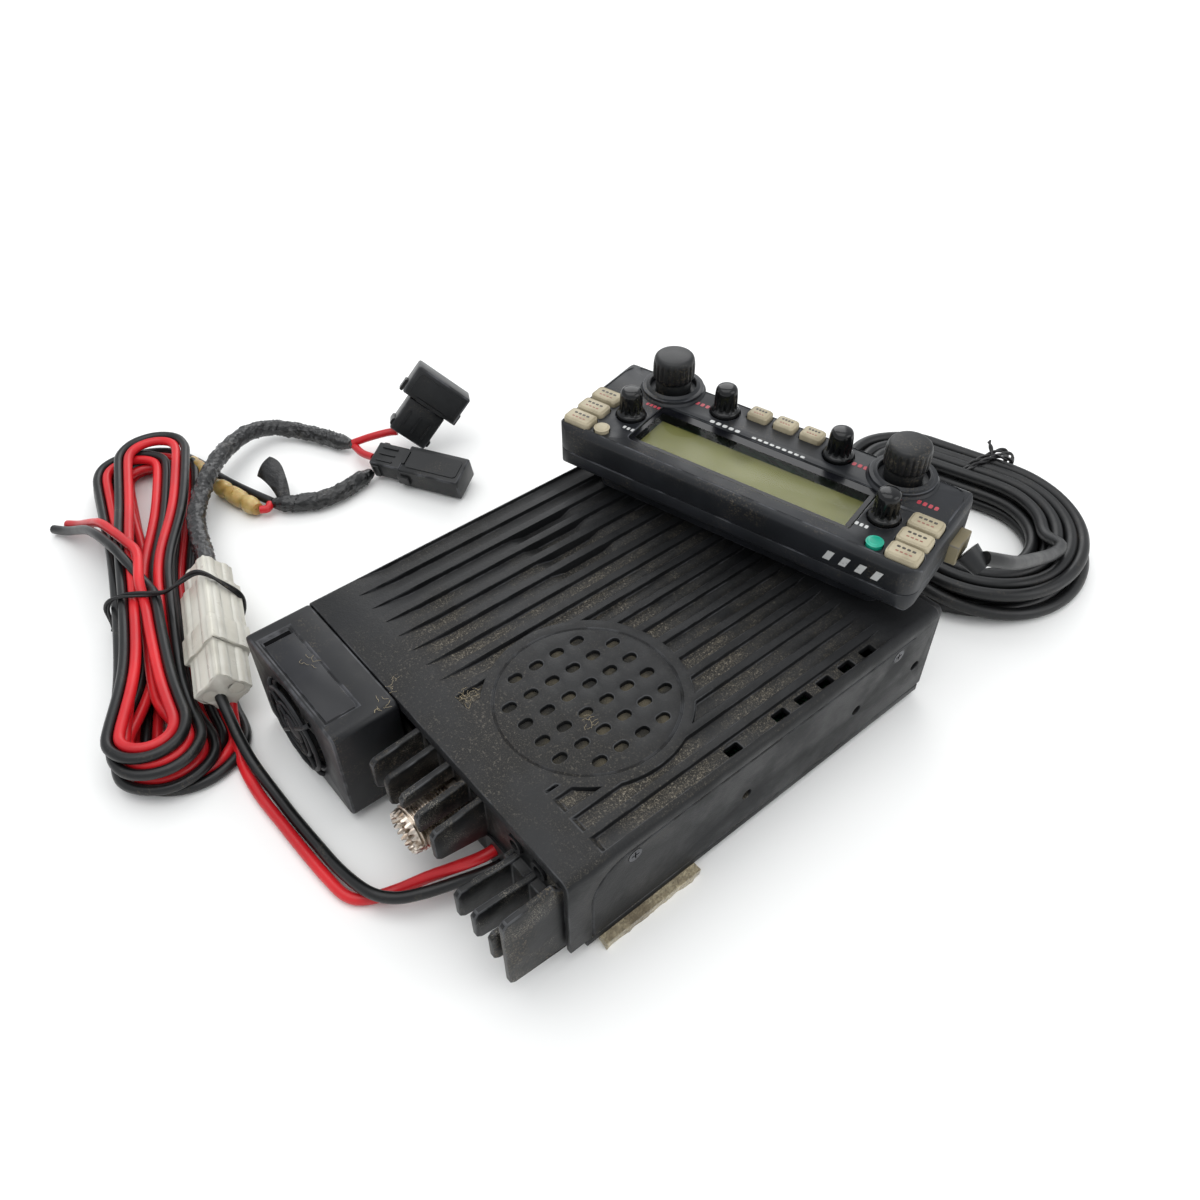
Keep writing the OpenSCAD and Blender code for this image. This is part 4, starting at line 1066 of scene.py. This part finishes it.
def holder_detail(bm):
    """Ribs and a collar moulded on the fuse holders."""
    for matrix, l, w, t in ((FUSE_A, 15, 18, 11), (FUSE_B, 13, 12, 9)):
        for base in both_sides(matrix):
            for y in (-w * 0.3, 0, w * 0.3):
                slab(bm, rounded(l * 0.6, 0.9, 0.3, -l / 2, y, 2), t / 2 - 0.2, t / 2 + 0.55, base)
        slab(bm, rounded(3.2, w + 2, 0.8, -l + 3, 0), -t / 2 + 1.2, t / 2 - 1.2, matrix)


def lobes(rows):
    """Detail of a connector's half: four round lobes for every row (stations, y, z, radius)."""
    def detail(bm):
        for sy in (-1, 1):
            for sz in (-1, 1):
                for stations, y, z, radius in rows:
                    tube(bm, [CONNECTOR @ mm(x, sy * y, sz * z) for x in stations], radius, 20)
    return detail


def tape_flap():
    """Loose end of the tape, curled away from the lead."""
    bm = bmesh.new()
    for lift in (-0.09, 0.09):
        rows = []
        for i in range(15):
            t = i / 14
            middle = Vector((172.5 + 16 * t, 43.5 + t - 2 * sin(2.6 * t), 4.3 + 7.8 * sin(1.7 * t)))
            lean = -0.3 - 0.5 * t
            across = Vector((0.15, cos(lean), sin(lean))) * (2.6 + 4.4 * t - 1.6 * t ** 4)
            out = Vector((0, -sin(lean), cos(lean)))
            row = []
            for v in (-1, -0.6, -0.2, 0.2, 0.6, 1):
                curl = 1.1 * (1 - v * v) + 0.3 * sin(9 * t + 2 * v) + lift
                row.append((middle + across * v + out * curl) * MM)
            rows.append(row)
        sheet(bm, rows, lift > 0)
    add_extra("tape_flap", bm, "tape_black", smooth=60)


def grille_foam():
    """The speaker's dusty foam, seen in the grille's slots a little below the surface."""
    look = Look("grille_foam", "#262521", 0.92)
    look.mottle((130, 4), 0.35, 0.68, "#1f1e1b", "#4f493b")
    look.bump(look.cells(1500), 0.3, 0.8)
    bm = bmesh.new()
    middle_x, middle_y, pitch, bottom, top = -23.3, 33.8, 8.25, 38.2, 41.3
    for i in range(6):
        for j in range(6):
            if i in (0, 5) and j in (0, 5):
                continue
            spot = (middle_x + (i - 2.5) * pitch, middle_y + (j - 2.5) * pitch)
            slab(bm, rounded(3.24, 4.84, 1.6, *spot), bottom, top)
    add_extra("grille_foam", bm, "speaker_paper", look)


def label_gap_painted_shade(bm):
    """Painted shade: a near-black sheet in the empty end of the recess that the plate slid away from."""
    slab(bm, [(60.3, 89.4), (63.3, 89.4), (63.3, 100.1), (60.3, 100.1)], 41.71, 41.76, Matrix(), 1)


def add_lint():
    """Tangle of short fibres caught at the cover's rear edge and by the fan."""
    rng = random.Random(7)
    bm = bmesh.new()
    for x, y, z, reach, count in ((0, 61, 42.9, 5.5, 16), (14, 84, 42.7, 4, 7), (-30, 40, 42.9, 6, 8),
                                  (44, 92, 42.7, 6, 6), (20, 76.5, 42.8, 5, 8)):
        for _ in range(count):
            a = rng.uniform(0, tau)
            place = Vector((x + rng.gauss(0, reach / 3), y + rng.gauss(0, reach / 3), z))
            points = []
            for i in range(7):
                points.append(place * MM)
                a += rng.uniform(-0.8, 0.8)
                place = place + Vector((cos(a), sin(a), 0)) * 0.45
                place.z = z + 0.05 + 0.2 * abs(sin(i * 1.3 + x))
            tube(bm, points, 0.055, 4)
    add_extra("lint_fibres", bm, "pad_beige", plastic_look("lint_fibre", "#a89b80", "#8b7f66", 0.8))


# -------- build
make_camera()
make_studio()
LOOKS = make_looks()
for name in frame["nodes"]:
    dress(name)

cable, cable_path = add_run("control_cable_run", cable_line(), CABLE_D, "cable_black",
                            ["control_cable", "control_coil"])
red_tail, red_tail_path = add_run("pigtail_red_wire", dense(RED_ROUTE), WIRE_D, "wire_red", ["pigtail_red"])
black_tail, black_tail_path = add_run("pigtail_black_wire", dense(BLACK_ROUTE), WIRE_D, "wire_black",
                                      ["pigtail_black"])
lead_a, lead_a_path = taped("taped_lead_wrap_a", LEAD_A_ROUTE, "taped_lead_a")
lead_b, lead_b_path = taped("taped_lead_wrap_b", LEAD_B_ROUTE, "taped_lead_b")
supply = add_power_wires()
short_wires = add_short_wires()
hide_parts("power_hank", "lead_ends")

for node, width in (("front_panel", 0.4), ("head_back", 0.4), ("chassis", 0.3), ("control_plugs", 0.4),
                    ("power_button", 0.3), ("set_button", 0.3)):
    refined(node, width)
for node, width in (("heat_sink", 0.45), ("top_cover", 0.35), ("fan_shroud", 0.9)):
    refined(node, width, joined=False)
refined("head_bezel", joined=False, detail=head_marks,
        extra=(print_look("print_red", "#a8323f"), print_look("print_white", "#b9bab8")))
refined("connector_socket", 0.6, detail=lobes((((0.2, 8, 16.9), 3.6, 3.3, 3.95),
                                               ((17.1, 23, 28.9), 4.392, 4.026, 4.5))))
refined("connector_plug", 0.6, detail=lobes((((29.4, 40, 51.8), 4, 3.7, 4.35),
                                             ((51.9, 58, 63.8), 3.2, 3.108, 3.6))))
# near-black, hardly reflecting look that paints the shade in the label plate's empty recess
painted_gap_shade = Look("painted_gap_shade", "#050506", 0.9, Specular_IOR_Level=0.1)
refined("shroud_label", 0.25, extra=(painted_gap_shade,), detail=label_gap_painted_shade)
band_gloss = Look("band_gloss", "#0b0c10", 0.2, Specular_IOR_Level=0.3)
band_gloss.roughen(band_gloss.noise(90), 0.14, 0.26)
refined("display_lens", 0.3, extra=(band_gloss,), detail=window_bands)
fuse_black = plastic_look("fuse_black", "#1b1c1d", "#2a2b2c", 0.38, depth=0.02)
refined("fuse_caps", 0.9, look=fuse_black, detail=cap_detail)
refined("fuse_holders", 0.7, look=fuse_black, detail=holder_detail)
add_pods()
add_pads()
legends = (print_look("print_dark", "#3a352c"), print_look("print_rust", "#8a5a4a"))
for side, s in (("left", -1), ("right", 1)):
    add_dial(side + "_dial", s * DIAL_X)
    add_knob(side + "_volume_knob", s * 49.6, 5.5)
    add_knob(side + "_squelch_knob", s * 22.7, -15.8)
    for i, y in enumerate(SIDE_KEYS_Y):
        refined(f"{side}_key_{i + 1}", 0.45, extra=legends,
                detail=key_marks(s * SIDE_KEYS_X, y, SIDE_KEYS_TOP, 10))
for i, x in enumerate(LOWER_KEYS_X):
    refined(f"lower_key_{i + 1}", 0.4, extra=legends, detail=key_marks(x, LOWER_KEYS_Y, LOWER_KEYS_TOP, 7))
add_fan()
add_antenna_socket()
add_ties()
add_splices()
tape_flap()
grille_foam()
add_lint()
